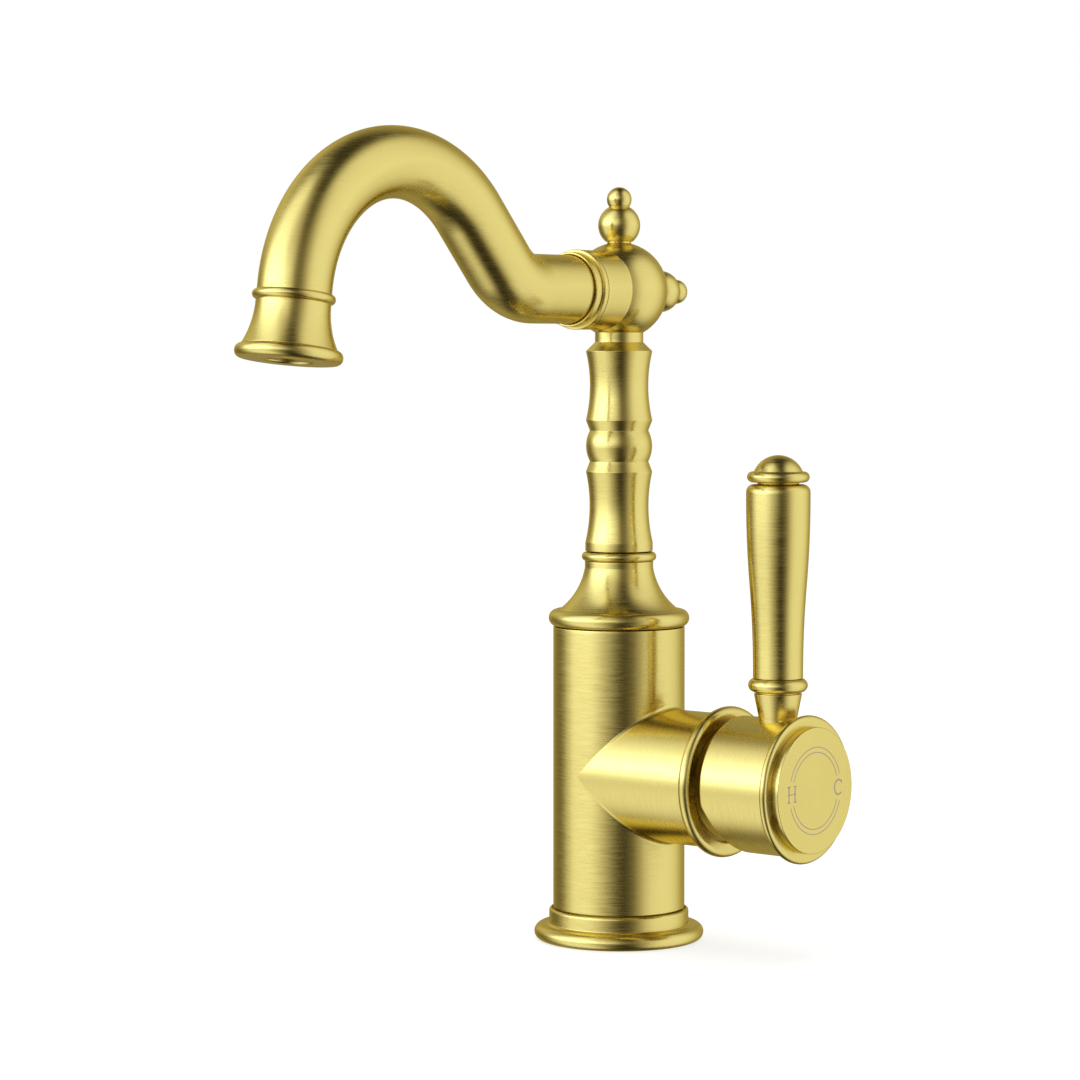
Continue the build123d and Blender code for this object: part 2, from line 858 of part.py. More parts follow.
def make_cartridge_stem():
    # Square bar on the pin, with a ball at its inner end that pushes the disc carrier.
    ball = pin_x - stem_arm
    square_start = pin_x - stem_arm / 2
    stem = Pos(0, 0, square_start) * Box(
        stem_width,
        stem_width,
        stem_reach + stem_arm / 2,
        align=(Align.CENTER, Align.CENTER, Align.MIN),
    )
    stem = chamfer(stem.faces().sort_by(Axis.Z)[-1].edges(), stem_chamfer)
    stem += rod(stem_neck_radius, ball, square_start)
    stem += Pos(0, 0, ball) * Sphere(stem_ball_radius)
    stem -= Pos(0, 0, pin_x) * Rot(0, 90, 0) * Cylinder(pin_radius + running, 2 * stem_width)
    return along_x(stem)


def make_handle_hub():
    cavity = hub_radius - hub_wall
    web = hub_rear + hub_cavity
    flange = hub_rear + hub_length
    plug = hub_radius - face_plug_inset
    hub = turned(
        (cavity, hub_rear),
        (hub_radius - hub_edge, hub_rear),
        (hub_radius, hub_rear + hub_edge, -hub_edge),
        (hub_radius, flange - hub_cove),
        (hub_radius + hub_cove, flange, hub_cove),
        *half_round(hub_radius + hub_flange_overhang, flange, hub_front),
        (plug + slip, hub_front),
        (plug + slip, hub_front - hub_recess_depth),
        (0, hub_front - hub_recess_depth),
        (0, web),
        (cavity - hub_corner, web),
        (cavity, web - hub_corner, -hub_corner),
    )
    hub += rod(stem_width / 2 + socket_wall, web - socket_length, web + socket_wall)
    stem_end = pin_x + stem_reach
    socket = stem_width + 2 * slip
    hub -= Pos(0, 0, (stem_end + hub_rear) / 2 + slip) * Box(socket, socket, stem_end - hub_rear)
    hub = along_x(hub)
    relief = math.radians(tilt_limit + tilt_relief)
    cut = Plane(
        (hub_rear, 0, boss_height - hub_cut_start),
        x_dir=(0, 1, 0),
        z_dir=(math.cos(relief), 0, math.sin(relief)),
    )
    hub = split(hub, bisect_by=cut, keep=Keep.TOP)
    thread_end = -lever_seat - lever_thread_length - free
    hub -= on_lever(rod(lever_foot_radius + 2 * slip, -lever_seat, hub_radius))
    hub -= on_lever(rod(lever_thread_radius + slip, thread_end, 0))
    hub -= on_lever(rod(screw_radius + slip, -2 * hub_radius - free, -hub_radius))
    return hub


def make_set_screw():
    # Headless screw with a hexagon socket, tight on the stem from below.
    top = -hub_radius - stem_width / 2 - slip
    screw = rod(screw_radius, top - screw_length, top)
    socket = extrude(RegularPolygon(screw_socket, 6), screw_length / 3)
    return on_lever(screw - Pos(0, 0, top - screw_length) * socket)


def make_face_cap():
    # Plain disc with a coved rim, and a hollow plug that presses into the hub.
    seat = hub_front + slip
    front = hub_front + face_height
    plug = hub_radius - face_plug_inset
    plug_end = hub_front - hub_recess_depth + free
    back = front - face_thickness
    return along_x(
        turned(
            (plug - face_plug_wall, plug_end),
            (plug, plug_end),
            (plug, seat),
            (face_radius + face_cove, seat),
            (face_radius + face_cove, seat + face_foot),
            (face_radius, seat + face_foot + face_cove, face_cove),
            (face_radius, front - face_edge),
            (face_radius - face_edge, front, -face_edge),
            (0, front),
            (0, back),
            (plug - face_plug_wall, back),
        )
    )


bead_foot = lever_stem_length
grip_foot = bead_foot + lever_bead_height
grip_top = grip_foot + slip + grip_length


def make_lever_stem():
    # Tapered foot, bead and the rod that carries the grip, turned in one piece.
    return on_lever(
        turned(
            (0, -lever_seat - lever_thread_length),
            (lever_thread_radius, -lever_seat - lever_thread_length),
            (lever_thread_radius, slip - lever_seat),
            (lever_foot_radius, slip - lever_seat),
            (lever_foot_radius, 0),
            (lever_head_radius, bead_foot - lever_head_edge),
            *half_round(lever_bead_radius, bead_foot, grip_foot),
            (lever_rod_radius, grip_foot),
            (lever_rod_radius, grip_top + slip + end_thread_depth),
            (0, grip_top + slip + end_thread_depth),
        )
    )


def make_lever_grip():
    # Sleeve whose taper is two equal arcs, upright at both ends.
    foot = grip_foot + slip
    taper_foot = foot + grip_cylinder
    taper_top = grip_top - grip_shoulder - grip_cylinder
    middle = (taper_foot + taper_top) / 2
    swell = (grip_large_radius - grip_small_radius) / 2
    arc = ((taper_top - taper_foot) ** 2 / 4 + swell**2) / (2 * swell)
    return on_lever(
        turned(
            (lever_rod_radius + slip, foot),
            (grip_small_radius, foot),
            (grip_small_radius, taper_foot),
            (grip_small_radius + swell, middle, arc),
            (grip_large_radius, taper_top, -arc),
            (grip_large_radius, grip_top - grip_shoulder),
            (grip_large_radius - grip_shoulder, grip_top, -grip_shoulder),
            (lever_rod_radius + slip, grip_top),
        )
    )


def make_lever_end_cap():
    foot = grip_top + slip
    bead = foot + end_neck_height
    dome = bead + end_bead_height
    arc = (end_dome_radius**2 + end_dome_height**2) / (2 * end_dome_height)
    hole_end = foot + end_thread_depth + slip
    return on_lever(
        turned(
            (lever_rod_radius + slip, foot),
            (end_neck_radius, foot),
            (end_neck_radius, bead),
            *half_round(end_bead_radius, bead, dome),
            (end_dome_radius, dome),
            (0, dome + end_dome_height, -arc),
            (0, hole_end),
            (lever_rod_radius + slip, hole_end),
        )
    )


nodes = {
    "base_flange": make_base_flange(),
    "base_seal": make_base_seal(),
    "main_body": make_main_body(),
    "bell_cap": make_bell_cap(),
    "bell_cap_o_ring": make_bell_cap_o_ring(),
    "swivel_bush": make_swivel_bush(),
    "swivel_o_rings": make_swivel_o_rings(),
    "swivel_clip": make_swivel_clip(),
    "turned_column": make_turned_column(),
    "ball_tee": make_ball_tee(),
    "top_finial": upwards(make_finial()),
    "rear_finial": backwards(make_finial()),
    "spout_nut": make_spout_nut(),
    "spout_tube": make_spout_tube(),
    "spout_o_ring": make_spout_o_ring(),
    "outlet_bell": make_outlet_bell(),
    "aerator_housing": make_aerator_housing(),
    "aerator_gasket": make_aerator_gasket(),
    "aerator_screen": make_aerator_screen(),
    "boss_ring": make_boss_ring(),
    "cartridge_nut": make_cartridge_nut(),
    "cartridge_casing": make_cartridge_casing(),
    "cartridge_base": make_cartridge_base(),
    "cartridge_seals": make_cartridge_seals(),
    "fixed_disc": make_fixed_disc(),
    "moving_disc": make_moving_disc(),
    "disc_carrier": make_disc_carrier(),
    "cartridge_rotor": make_cartridge_rotor(),
    "stem_pin": make_stem_pin(),
    "cartridge_stem": make_cartridge_stem(),
    "handle_hub": make_handle_hub(),
    "set_screw": make_set_screw(),
    "face_cap": make_face_cap(),
    "lever_stem": make_lever_stem(),
    "lever_grip": make_lever_grip(),
    "lever_end_cap": make_lever_end_cap(),
}

os.makedirs("parts", exist_ok=True)
for name, solid in nodes.items():
    export_step(solid, f"parts/{name}.step")
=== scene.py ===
import json
import math

import bmesh
import bpy
import numpy as np
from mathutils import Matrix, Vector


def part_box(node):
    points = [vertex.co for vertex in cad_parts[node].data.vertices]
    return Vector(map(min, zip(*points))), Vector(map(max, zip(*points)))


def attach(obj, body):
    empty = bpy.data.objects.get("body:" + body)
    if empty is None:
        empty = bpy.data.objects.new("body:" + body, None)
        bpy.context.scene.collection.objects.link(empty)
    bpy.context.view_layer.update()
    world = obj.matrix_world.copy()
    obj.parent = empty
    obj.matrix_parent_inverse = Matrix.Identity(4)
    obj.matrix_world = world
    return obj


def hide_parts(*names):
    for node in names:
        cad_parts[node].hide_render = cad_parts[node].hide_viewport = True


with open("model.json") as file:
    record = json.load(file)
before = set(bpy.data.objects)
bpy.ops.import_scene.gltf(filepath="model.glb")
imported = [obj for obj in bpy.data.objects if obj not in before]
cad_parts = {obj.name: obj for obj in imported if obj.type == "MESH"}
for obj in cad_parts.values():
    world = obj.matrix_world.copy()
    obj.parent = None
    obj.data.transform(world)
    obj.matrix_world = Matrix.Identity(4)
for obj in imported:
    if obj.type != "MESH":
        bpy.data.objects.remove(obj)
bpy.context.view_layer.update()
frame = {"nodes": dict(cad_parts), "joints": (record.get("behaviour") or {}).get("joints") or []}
nodes = frame["nodes"]

mm = 0.001  # sizes below are millimetres, the scene is metres


def cornersOf(node):
    # A node's lowest and highest corner in millimetres
    low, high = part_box(node)
    return np.array(low) / mm, np.array(high) / mm


# Places that several pieces share, read from the frame
bossEnd, bodyRadius, bodyTop = cornersOf("main_body")[1]
bossHeight = [j for j in frame["joints"] if j["name"] == "lever_turn"][0]["pos_m"][2] / mm
spoutHeight = sum(cornersOf("spout_nut"))[2] / 2
leverX = sum(cornersOf("lever_grip"))[0] / 2
leverFoot = bossHeight + bodyRadius
slip = 0.05  # clearance between pieces that stay put


def linear(colour):
    # sRGB hex to linear: c / 12.92 below 0.04045, else ((c + 0.055) / 1.055) ^ 2.4
    srgb = np.array([int(colour[i:i + 2], 16) for i in (1, 3, 5)]) / 255
    values = np.where(srgb <= 0.04045, srgb / 12.92, ((srgb + 0.055) / 1.055) ** 2.4)
    return (*values.tolist(), 1.0)


def addNode(tree, kind, settings=None, values=None, links=None, output=0):
    # A shader node: settings are its properties, values and links its inputs, by name or number. Returns
    # the output asked for, or the node if it has none.
    node = tree.nodes.new("ShaderNode" + kind)
    for name, value in (settings or {}).items():
        setattr(node, name, value)
    for name, value in (values or {}).items():
        node.inputs[name].default_value = value
    for name, source in (links or {}).items():
        tree.links.new(source, node.inputs[name])
    return node.outputs[output] if node.outputs else node


def newMaterial(name):
    # An empty material and its tree
    material = bpy.data.materials.new(name)
    material.use_nodes = True
    material.node_tree.nodes.clear()
    return material, material.node_tree


def addSurface(tree, pale, deep, factor, roughness, grain, depth, values, **links):
    # A surface that goes from deep to pale with the factor, and whose grain stands up by its depth
    colour = addNode(tree, "Mix", {"data_type": "RGBA"}, {
        "A": linear(deep), "B": linear(pale)}, {"Factor": factor}, output="Result")
    bump = addNode(tree, "Bump", values={"Distance": depth * mm}, links={"Height": grain})
    surface = addNode(tree, "BsdfPrincipled", values=values, links={
        "Base Color": colour, "Roughness": roughness, "Normal": bump, **links})
    addNode(tree, "OutputMaterial", links={"Surface": surface})


# Brass with a gold PVD coat, brushed on a belt while it turns. The hair-fine lines, drawn about three
# times as wide as they are, spread each highlight across themselves and leave a silky broken sheen.
brushedGold = {
    "pale": "#E4D083", "deep": "#DCC879", "edge": "#F1E3A9",
    "lineWidth": 0.4, "lineLength": 8.0, "lineDepth": 0.0003,
    "cloudSize": 11.0,
    "roughness": (0.17, 0.33),
    "anisotropy": 0.5,
}


def goldMaterial(name, acrossX, spun=False):
    # Noise squeezed across the lines and drawn out along them gives the lines; a larger one mottles the
    # colour. On the spun face it is read by distance from the axis, so that the lines are rings.
    look = brushedGold
    material, tree = newMaterial(name)
    place = addNode(tree, "TexCoord", output="Object")
    across, along = 1 / (look["lineWidth"] * mm), 1 / (look["lineLength"] * mm)
    if spun:
        centred = addNode(tree, "Mapping", values={
            "Location": (0, 0, -bossHeight * mm), "Scale": (0, 1, 1)}, links={"Vector": place})
        distance = addNode(tree, "VectorMath", {"operation": "LENGTH"}, links={
            0: centred}, output="Value")
        rings = addNode(tree, "Math", {"operation": "MULTIPLY"}, {1: across}, {0: distance})
        turned = addNode(tree, "CombineXYZ", links={"X": rings})
        drift = addNode(tree, "VectorMath", {"operation": "SCALE"}, {"Scale": along}, {0: centred})
        lineVector = addNode(tree, "VectorMath", {"operation": "ADD"}, links={0: turned, 1: drift})
        spread = {"links": {"Vector": centred}}
    else:
        scale = (across, along, along) if acrossX else (along, along, across)
        lineVector = addNode(tree, "Mapping", values={"Scale": scale}, links={"Vector": place})
        spread = {"values": {"Vector": (1, 0, 0) if acrossX else (0, 0, 1)}}
    tangent = addNode(tree, "VectorTransform", {
        "vector_type": "VECTOR", "convert_from": "OBJECT", "convert_to": "WORLD"}, **spread)
    lines = addNode(tree, "TexNoise", values={
        "Scale": 1.0, "Detail": 3.0, "Roughness": 0.6}, links={"Vector": lineVector})
    clouds = addNode(tree, "TexNoise", values={
        "Scale": 1 / (look["cloudSize"] * mm), "Detail": 2.0}, links={"Vector": place})
    both = addNode(tree, "Mix", {"data_type": "FLOAT"}, {"Factor": 0.4}, {"A": lines, "B": clouds})
    low, high = look["roughness"]
    roughness = addNode(tree, "MapRange", values={
        "From Min": 0.3, "From Max": 0.7, "To Min": low, "To Max": high}, links={"Value": lines})
    addSurface(tree, look["pale"], look["deep"], both, roughness, lines, look["lineDepth"], {
        "Metallic": 1.0, "Specular Tint": linear(look["edge"]), "Anisotropic": look["anisotropy"],
    }, Tangent=tangent)
    return material


goldUpright = goldMaterial("brushedGoldUpright", acrossX=False)
goldSideways = goldMaterial("brushedGoldSideways", acrossX=True)
goldSpun = goldMaterial("spunGoldFace", acrossX=True, spun=True)


def plainMaterial(name, pale, deep, grain, grainDepth, roughness, metallic=0.0, stretch=(1, 1, 1)):
    # Noise of the grain's size moves the height, the colour between two shades and the roughness
    material, tree = newMaterial(name)
    place = addNode(tree, "TexCoord", output="Object")
    drawn = addNode(tree, "Mapping", values={"Scale": stretch}, links={"Vector": place})
    speck = addNode(tree, "TexNoise", values={
        "Scale": 1 / (grain * mm), "Detail": 3.0}, links={"Vector": drawn})
    rough = addNode(tree, "MapRange", values={
        "To Min": roughness[0], "To Max": roughness[1]}, links={"Value": speck})
    addSurface(tree, pale, deep, speck, rough, speck, grainDepth, {"Metallic": metallic})
    return material


# Moulded nitrile rubber: nearly black, with a dull bloom
nitrileRubber = plainMaterial("nitrileRubber", "#2B2B2C", "#1B1B1C", 0.5, 0.01, (0.55, 0.8))
# Moulded acetal: slightly translucent white, smooth from the mould
whiteAcetal = plainMaterial("whiteAcetal", "#EEEEEA", "#E2E2DC", 1.6, 0.004, (0.35, 0.5))
greyAcetal = plainMaterial("greyAcetal", "#5A5853", "#45433F", 1.2, 0.004, (0.4, 0.55))
blackAcetal = plainMaterial("blackAcetal", "#2E2C29", "#22211F", 1.2, 0.004, (0.4, 0.55))
# Lapped alumina: ivory white, mirror-flat but softly shining
aluminaCeramic = plainMaterial("aluminaCeramic", "#F3F0E8", "#EAE6DB", 0.9, 0.001, (0.12, 0.22))
# Drawn stainless steel: grey with fine lines along the wire
stainlessSteel = plainMaterial(
    "stainlessSteel", "#C9C9C6", "#B2B2AF", 0.3, 0.002, (0.25, 0.4), 1.0, (1, 1, 0.15))
# Turned brass: yellower than the coat, with lathe lines
turnedBrass = plainMaterial(
    "turnedBrass", "#DDBE72", "#CFAC5E", 0.3, 0.003, (0.25, 0.4), 1.0, (1, 0.1, 0.1))
# Brass for the nut deep in the boss ring: painted darker and browner as shade in that recess, with lathe
# lines
recessShadeBrass = plainMaterial(
    "recessShadeBrass", "#C0A040", "#9C7E2E", 0.3, 0.003, (0.35, 0.5), 1.0, (1, 0.1, 0.1))
# Laser marking: the coat is burnt to a dull grey-mauve
laserMark = plainMaterial("laserMark", "#C4B7B0", "#B0A29B", 0.15, 0.003, (0.5, 0.65), 0.3)

carriedNodes = [
    (nitrileRubber, ["base_seal", "bell_cap_o_ring", "swivel_o_rings", "spout_o_ring", "aerator_gasket",
                     "cartridge_seals"]),
    (blackAcetal, ["swivel_bush"]),
    (whiteAcetal, ["cartridge_casing", "cartridge_base", "disc_carrier", "cartridge_rotor"]),
    (greyAcetal, ["aerator_housing"]),
    (aluminaCeramic, ["fixed_disc", "moving_disc"]),
    (stainlessSteel, ["swivel_clip", "stem_pin", "set_screw", "aerator_screen"]),
    (turnedBrass, ["cartridge_stem"]),
]
for material, names in carriedNodes:
    for name in names:
        nodes[name].data.materials.clear()
        nodes[name].data.materials.append(material)
print("materials ready, carried nodes finished:", sum(len(names) for _, names in carriedNodes))

# How finely every piece is drawn
turning = {
    "step": 0.04,  # between the points that an outline is first drawn with
    "soften": 0.15,  # length over which its corners are eased
    "turnPerRing": 6.0,  # degrees
    "lengthPerRing": 2.4,
    "around": 160,
    "pathSteps": 12000,  # along the spout's centre line
    "merge": 0.0005, "slim": 0.0002,  # points this near are one, slivers this thin go
    "sharpCut": 35.0, "sharpMark": 30.0,  # degrees from which an edge stays sharp
}


def runPoints(start, end):
    # start + t (end - start), or centre + R (cos a, sin a) where the end has a third value: the arc's
    # radius, which bulges to the left of travel if positive and to the right if negative
    a, b = np.array(start[:2], float), np.array(end[:2], float)
    chord = b - a
    length = math.hypot(*chord)
    if len(end) == 2:
        count = max(1, round(length / turning["step"]))
        return a + np.arange(count)[:, None] / count * chord
    radius, side = abs(end[2]), math.copysign(1, end[2])
    half = math.asin(min(1, length / 2 / radius))
    left = np.array([-chord[1], chord[0]]) / length
    centre = (a + b) / 2 - side * left * radius * math.cos(half)
    count = max(2, round(2 * half * radius / turning["step"]))
    angle = math.atan2(*(a - centre)[::-1]) - side * 2 * half * np.arange(count) / count
    return centre + radius * np.stack([np.cos(angle), np.sin(angle)], 1)


def softOutline(corners, soften=turning["soften"], lengthPerRing=turning["lengthPerRing"]):
    # Runs between (radius, height) corners, averaged with a Gaussian so that every edge is eased, then
    # thinned to one ring per step of turn plus length. A closed loop wraps round, an end on the axis is
    # mirrored in it, and the ends of an outline that starts with "free" are turned about themselves,
    # which leaves them where they are. Returns (radius, height) and the outward normal.
    onAxis = corners[0][0] == 0, corners[-1][0] == 0
    free = corners[0] == "free"
    corners = corners[1:] if free else corners
    loop = not free and not any(onAxis)
    runs = [runPoints(a, b) for a, b in zip(corners, corners[1:] + corners[:1] * loop)]
    fine = np.concatenate(runs if loop else runs + [np.array([corners[-1][:2]], float)])
    reach = round(3 * soften / turning["step"])
    if loop:
        padded = np.concatenate([fine[-reach:], fine, fine[:reach]])
    else:
        ends = [fine[reach:0:-1], fine[-2:-reach - 2:-1]]
        flips = [e * (-1, 1) if p[0] == 0 else 2 * p - e for e, p in zip(ends, (fine[0], fine[-1]))]
        padded = np.concatenate([flips[0], fine, flips[1]])
    kernel = np.exp(-0.5 * (np.arange(-reach, reach + 1) * turning["step"] / soften) ** 2)
    soft = np.stack([np.convolve(padded[:, k], kernel / kernel.sum(), "valid") for k in (0, 1)], 1)
    heading = np.roll(soft, -1, 0) - np.roll(soft, 1, 0) if loop else np.gradient(soft, axis=0)
    heading /= np.linalg.norm(heading, axis=1)[:, None]
    turn = np.abs(np.diff(np.unwrap(np.arctan2(heading[:, 1], heading[:, 0])), prepend=0))
    turn[0] = 0
    length = np.linalg.norm(np.diff(soft, axis=0, prepend=soft[:1]), axis=1)
    progress = np.cumsum(turn) / math.radians(turning["turnPerRing"]) + np.cumsum(length) / lengthPerRing
    keep = np.flatnonzero(np.diff(np.floor(progress), prepend=-1))
    keep = np.append(keep, 0 if loop else len(soft) - 1)
    normal = np.stack([heading[:, 1], -heading[:, 0]], 1)
    return soft[keep], normal[keep]


def straightAxis(origin, axis, side):
    # The axis as a path: origin + height * direction, with the direction where the angle starts
    origin, axis, side = (np.array(v, float) for v in (origin, axis, side))
    return lambda height: (
        origin + height[:, None] * axis, np.broadcast_to(axis, (len(height), 3)), side)


upright = straightAxis((0, 0, 0), (0, 0, 1), (1, 0, 0))
boss = straightAxis((0, 0, bossHeight), (1, 0, 0), (0, 1, 0))
spoutRun = straightAxis((0, 0, spoutHeight), (0, -1, 0), (1, 0, 0))
teeUp = straightAxis((0, 0, spoutHeight), (0, 0, 1), (1, 0, 0))
teeBack = straightAxis((0, 0, spoutHeight), (0, 1, 0), (1, 0, 0))
lever = straightAxis((leverX, 0, leverFoot), (0, 0, 1), (1, 0, 0))


def turnedGrid(outline, path, around=turning["around"], **easing):
    # centre(height) + radius (cos a * side + sin a * (axis x side)); the outline's normal turns with it
    points, normals = softOutline(outline, **easing)
    centre, axis, side = path(points[:, 1])
    angle = np.linspace(0, 2 * math.pi, around + 1)
    other = np.cross(axis, side)
    outward = np.cos(angle)[None, :, None] * side + np.sin(angle)[None, :, None] * other[:, None, :]
    grid = centre[:, None, :] + points[:, 0, None, None] * outward
    facing = normals[:, 0, None, None] * outward + normals[:, 1, None, None] * axis[:, None, :]
    return grid, facing


def gridFaces(shape, start):
    # Quads between neighbouring rows and columns of a grid
    index = start + np.arange(shape[0] * shape[1]).reshape(shape[:2])
    return np.stack([index[:-1, :-1], index[:-1, 1:], index[1:, 1:], index[1:, :-1]], -1).reshape(-1, 4)


def addObject(name, data):
    # A new object of that data in the scene
    made = bpy.data.objects.new(name, data)
    bpy.context.scene.collection.objects.link(made)
    return made


def addPiece(name, body, standsFor, grids, materials, exact=True, fill=False):
    # The grids as one mesh in metres, joined where their points meet, with each grid's own normals if
    # exact; if asked, the loops still open are filled, within the outer loop and round the inner ones
    counts = np.cumsum([0] + [g.shape[0] * g.shape[1] for g, _ in grids])
    points = np.concatenate([g.reshape(-1, 3) for g, _ in grids]) * mm
    faces = np.concatenate([gridFaces(g.shape, s) for (g, _), s in zip(grids, counts)])
    mesh = bpy.data.meshes.new(name)
    mesh.from_pydata(points.tolist(), [], faces.tolist())
    facing = mesh.attributes.new("facing", "FLOAT_VECTOR", "POINT")
    facing.data.foreach_set("vector", np.concatenate([n.reshape(-1, 3) for _, n in grids]).ravel())
    joined = bmesh.new()
    joined.from_mesh(mesh)
    bmesh.ops.remove_doubles(joined, verts=joined.verts, dist=turning["merge"] * mm)
    bmesh.ops.dissolve_degenerate(joined, edges=joined.edges, dist=turning["slim"] * mm)
    if fill:
        rims = [e for e in joined.edges if e.is_boundary]
        bmesh.ops.triangle_fill(joined, use_beauty=True, edges=rims, normal=(0, 0, -1))
    openEdges = sum(e.is_boundary for e in joined.edges)
    joined.to_mesh(mesh)
    joined.free()
    mesh.shade_smooth()
    if exact:
        normals = np.zeros(len(mesh.vertices) * 3, np.float32)
        mesh.attributes["facing"].data.foreach_get("vector", normals)
        mesh.normals_split_custom_set_from_vertices(normals.reshape(-1, 3).tolist())
    mesh.attributes.remove(mesh.attributes["facing"])
    for material in materials:
        mesh.materials.append(material)
    piece = addObject(name, mesh)
    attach(piece, body)
    if standsFor:
        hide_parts(standsFor)
    print(name, len(mesh.polygons), "faces, open edges:", openEdges)
    return piece


def addTurned(name, body, node, outline, path, material, **easing):
    # One outline turned about its path, as a piece
    return addPiece(name, body, node, [turnedGrid(outline, path, **easing)], [material])


def halfRound(radius, low, high):
    # Half circle climbing a rim's outside, from its low edge out to the radius and back to its high edge
    half = (high - low) / 2
    return [(radius - half, low), (radius, low + half, -half), (radius - half, high, -half)]


def arcRadius(chord, sag):
    # Radius of the arc that stands off its chord by the sag: (chord^2 / 4 + sag^2) / 2 sag
    return (chord ** 2 / 4 + sag ** 2) / (2 * sag)


baseFlange = {
    "spigot": 20.25, "seat": 6.0, "sealInner": 22.0, "sealOuter": 24.8, "sealDepth": 2.0,
    "rim": 29.5, "rimHeight": 5.3, "hollow": 1.8, "step": 0.3, "stepHeight": 5.7,
    "collar": 24.3, "collarEdge": 0.95, "top": 10.9, "gap": 0.4, "gapDepth": 1.2,
}


def baseFlangeOutline(spigot, seat, sealInner, sealOuter, sealDepth, rim, rimHeight, hollow, step,
                      stepHeight, collar, collarEdge, top, gap, gapDepth):
    # Flat underside with the seal's groove, half-round rim, hollow, step and rounded collar, a small gap
    # round the body, then the body's seat
    return [
        (spigot, 0), (sealInner, 0), (sealInner, sealDepth), (sealOuter, sealDepth), (sealOuter, 0),
        *halfRound(rim, 0, rimHeight),
        (collar + step, stepHeight, hollow), (collar, stepHeight), (collar, top - collarEdge),
        (collar - collarEdge, top, -collarEdge), (bodyRadius + gap, top - gapDepth),
        (bodyRadius + slip, top - gapDepth), (bodyRadius + slip, seat), (spigot, seat),
    ]


addTurned("footFlange", "body", "base_flange", baseFlangeOutline(**baseFlange), upright, goldUpright)

bellCap = {
    "thread": 19.35, "threadLength": 8.0, "wall": 3.3, "bead": 24.5, "beadHeight": 6.0,
    "flareFoot": 21.2, "flareDrop": 0.4, "flareHeight": 15.0, "flareArc": 23.0,
    "neck": 11.9, "neckHeight": 2.2, "topBead": 13.0, "topBeadHeight": 3.2,
    "bushHole": 9.63, "bushDepth": 21.45, "ledge": 8.16, "ledgeThickness": 1.45, "ledgeRim": 1.5,
}


def bellCapOutline(thread, threadLength, wall, bead, beadHeight, flareFoot, flareDrop, flareHeight,
                   flareArc, neck, neckHeight, topBead, topBeadHeight, bushHole, bushDepth, ledge,
                   ledgeThickness, ledgeRim):
    # Threaded skirt, bead, hollow flare, neck and top bead, then the swivel's bore down to its ledge
    foot = bodyTop + beadHeight - flareDrop
    top = foot + flareHeight + neckHeight + topBeadHeight
    return [
        (thread - wall, bodyTop - threadLength), (thread, bodyTop - threadLength),
        (thread, bodyTop + slip), *halfRound(bead, bodyTop + slip, bodyTop + beadHeight),
        (flareFoot, foot), (neck, foot + flareHeight, flareArc), (neck, top - topBeadHeight),
        *halfRound(topBead, top - topBeadHeight, top),
        (bushHole, top), (bushHole, top - bushDepth), (ledge, top - bushDepth),
        (ledge, top - bushDepth - ledgeThickness),
        (bushHole + ledgeRim, top - bushDepth - ledgeThickness), (thread - wall, bodyTop - wall / 2),
    ]


addTurned("bellCap", "body", "bell_cap", bellCapOutline(**bellCap), upright, goldUpright)

turnedColumn = {
    "bore": 5.2, "pivot": 8.0, "pivotEdge": 0.6, "pivotFoot": 109.0,
    "foot": 135.3, "skirt": 11.32, "skirtDepth": 0.8, "band": 11.75, "bandHeight": 3.0, "bandEdge": 0.15,
    "shaft": 11.55, "lowerLength": 24.6, "upperLength": 24.0, "waist": 1.4, "stepHeight": 3.6,
    "bulge": 11.5, "bulgeLength": 10.7, "neck": 8.4, "neckSlope": 3.1, "neckLength": 3.4,
    "thread": 7.0, "threadLength": 5.0,
}


def turnedColumnOutline(bore, pivot, pivotEdge, pivotFoot, foot, skirt, skirtDepth, band, bandHeight,
                        bandEdge, shaft, lowerLength, upperLength, waist, stepHeight, bulge, bulgeLength,
                        neck, neckSlope, neckLength, thread, threadLength):
    # Pivot, skirt round the bush's flange, band, a waisted shaft, a bulge between two grooves, a second
    # waisted shaft, the neck and its thread
    groove = math.sqrt(bulge ** 2 - bulgeLength ** 2 / 4)
    lower = foot + bandHeight + lowerLength
    bulgeFoot = lower + stepHeight
    upper = bulgeFoot + bulgeLength + stepHeight
    neckFoot = upper + upperLength + neckSlope
    neckTop = neckFoot + neckLength
    return [
        (bore, pivotFoot), (pivot - pivotEdge, pivotFoot), (pivot, pivotFoot + pivotEdge),
        (pivot, foot + skirtDepth), (skirt, foot + skirtDepth), (skirt, foot), (band - bandEdge, foot),
        (band, foot + bandEdge), (band, foot + bandHeight), (shaft, lower, arcRadius(lowerLength, waist)),
        (groove, bulgeFoot), (groove, bulgeFoot + bulgeLength, -bulge),
        (shaft, upper), (shaft, upper + upperLength, arcRadius(upperLength, waist)), (neck, neckFoot),
        (neck, neckTop), (thread, neckTop), (thread, neckTop + threadLength),
        (bore, neckTop + threadLength),
    ]


addTurned("turnedColumn", "spout", "turned_column", turnedColumnOutline(**turnedColumn), upright,
          goldUpright, soften=0.1)

ballTee = {
    "ball": 16.8, "collar": 13.65, "collarEnd": 22.1, "thread": 12.75, "threadEnd": 24.0,
    "socket": 11.8, "socketFloor": 9.35, "bore": 9.0, "boreFloor": -4.5,
}


def ballTeeOutline(ball, collar, collarEnd, thread, threadEnd, socket, socketFloor, bore, boreFloor):
    # Ball from its back pole to the collar, the collar's thread, then the tube's socket and the waterway
    meet = math.sqrt(ball ** 2 - collar ** 2)
    return [
        (0, -ball), (ball, 0, -ball), (collar, meet, -ball), (collar, collarEnd), (thread, collarEnd),
        (thread, threadEnd), (socket, threadEnd), (socket, socketFloor), (bore, socketFloor),
        (bore, boreFloor), (0, boreFloor),
    ]


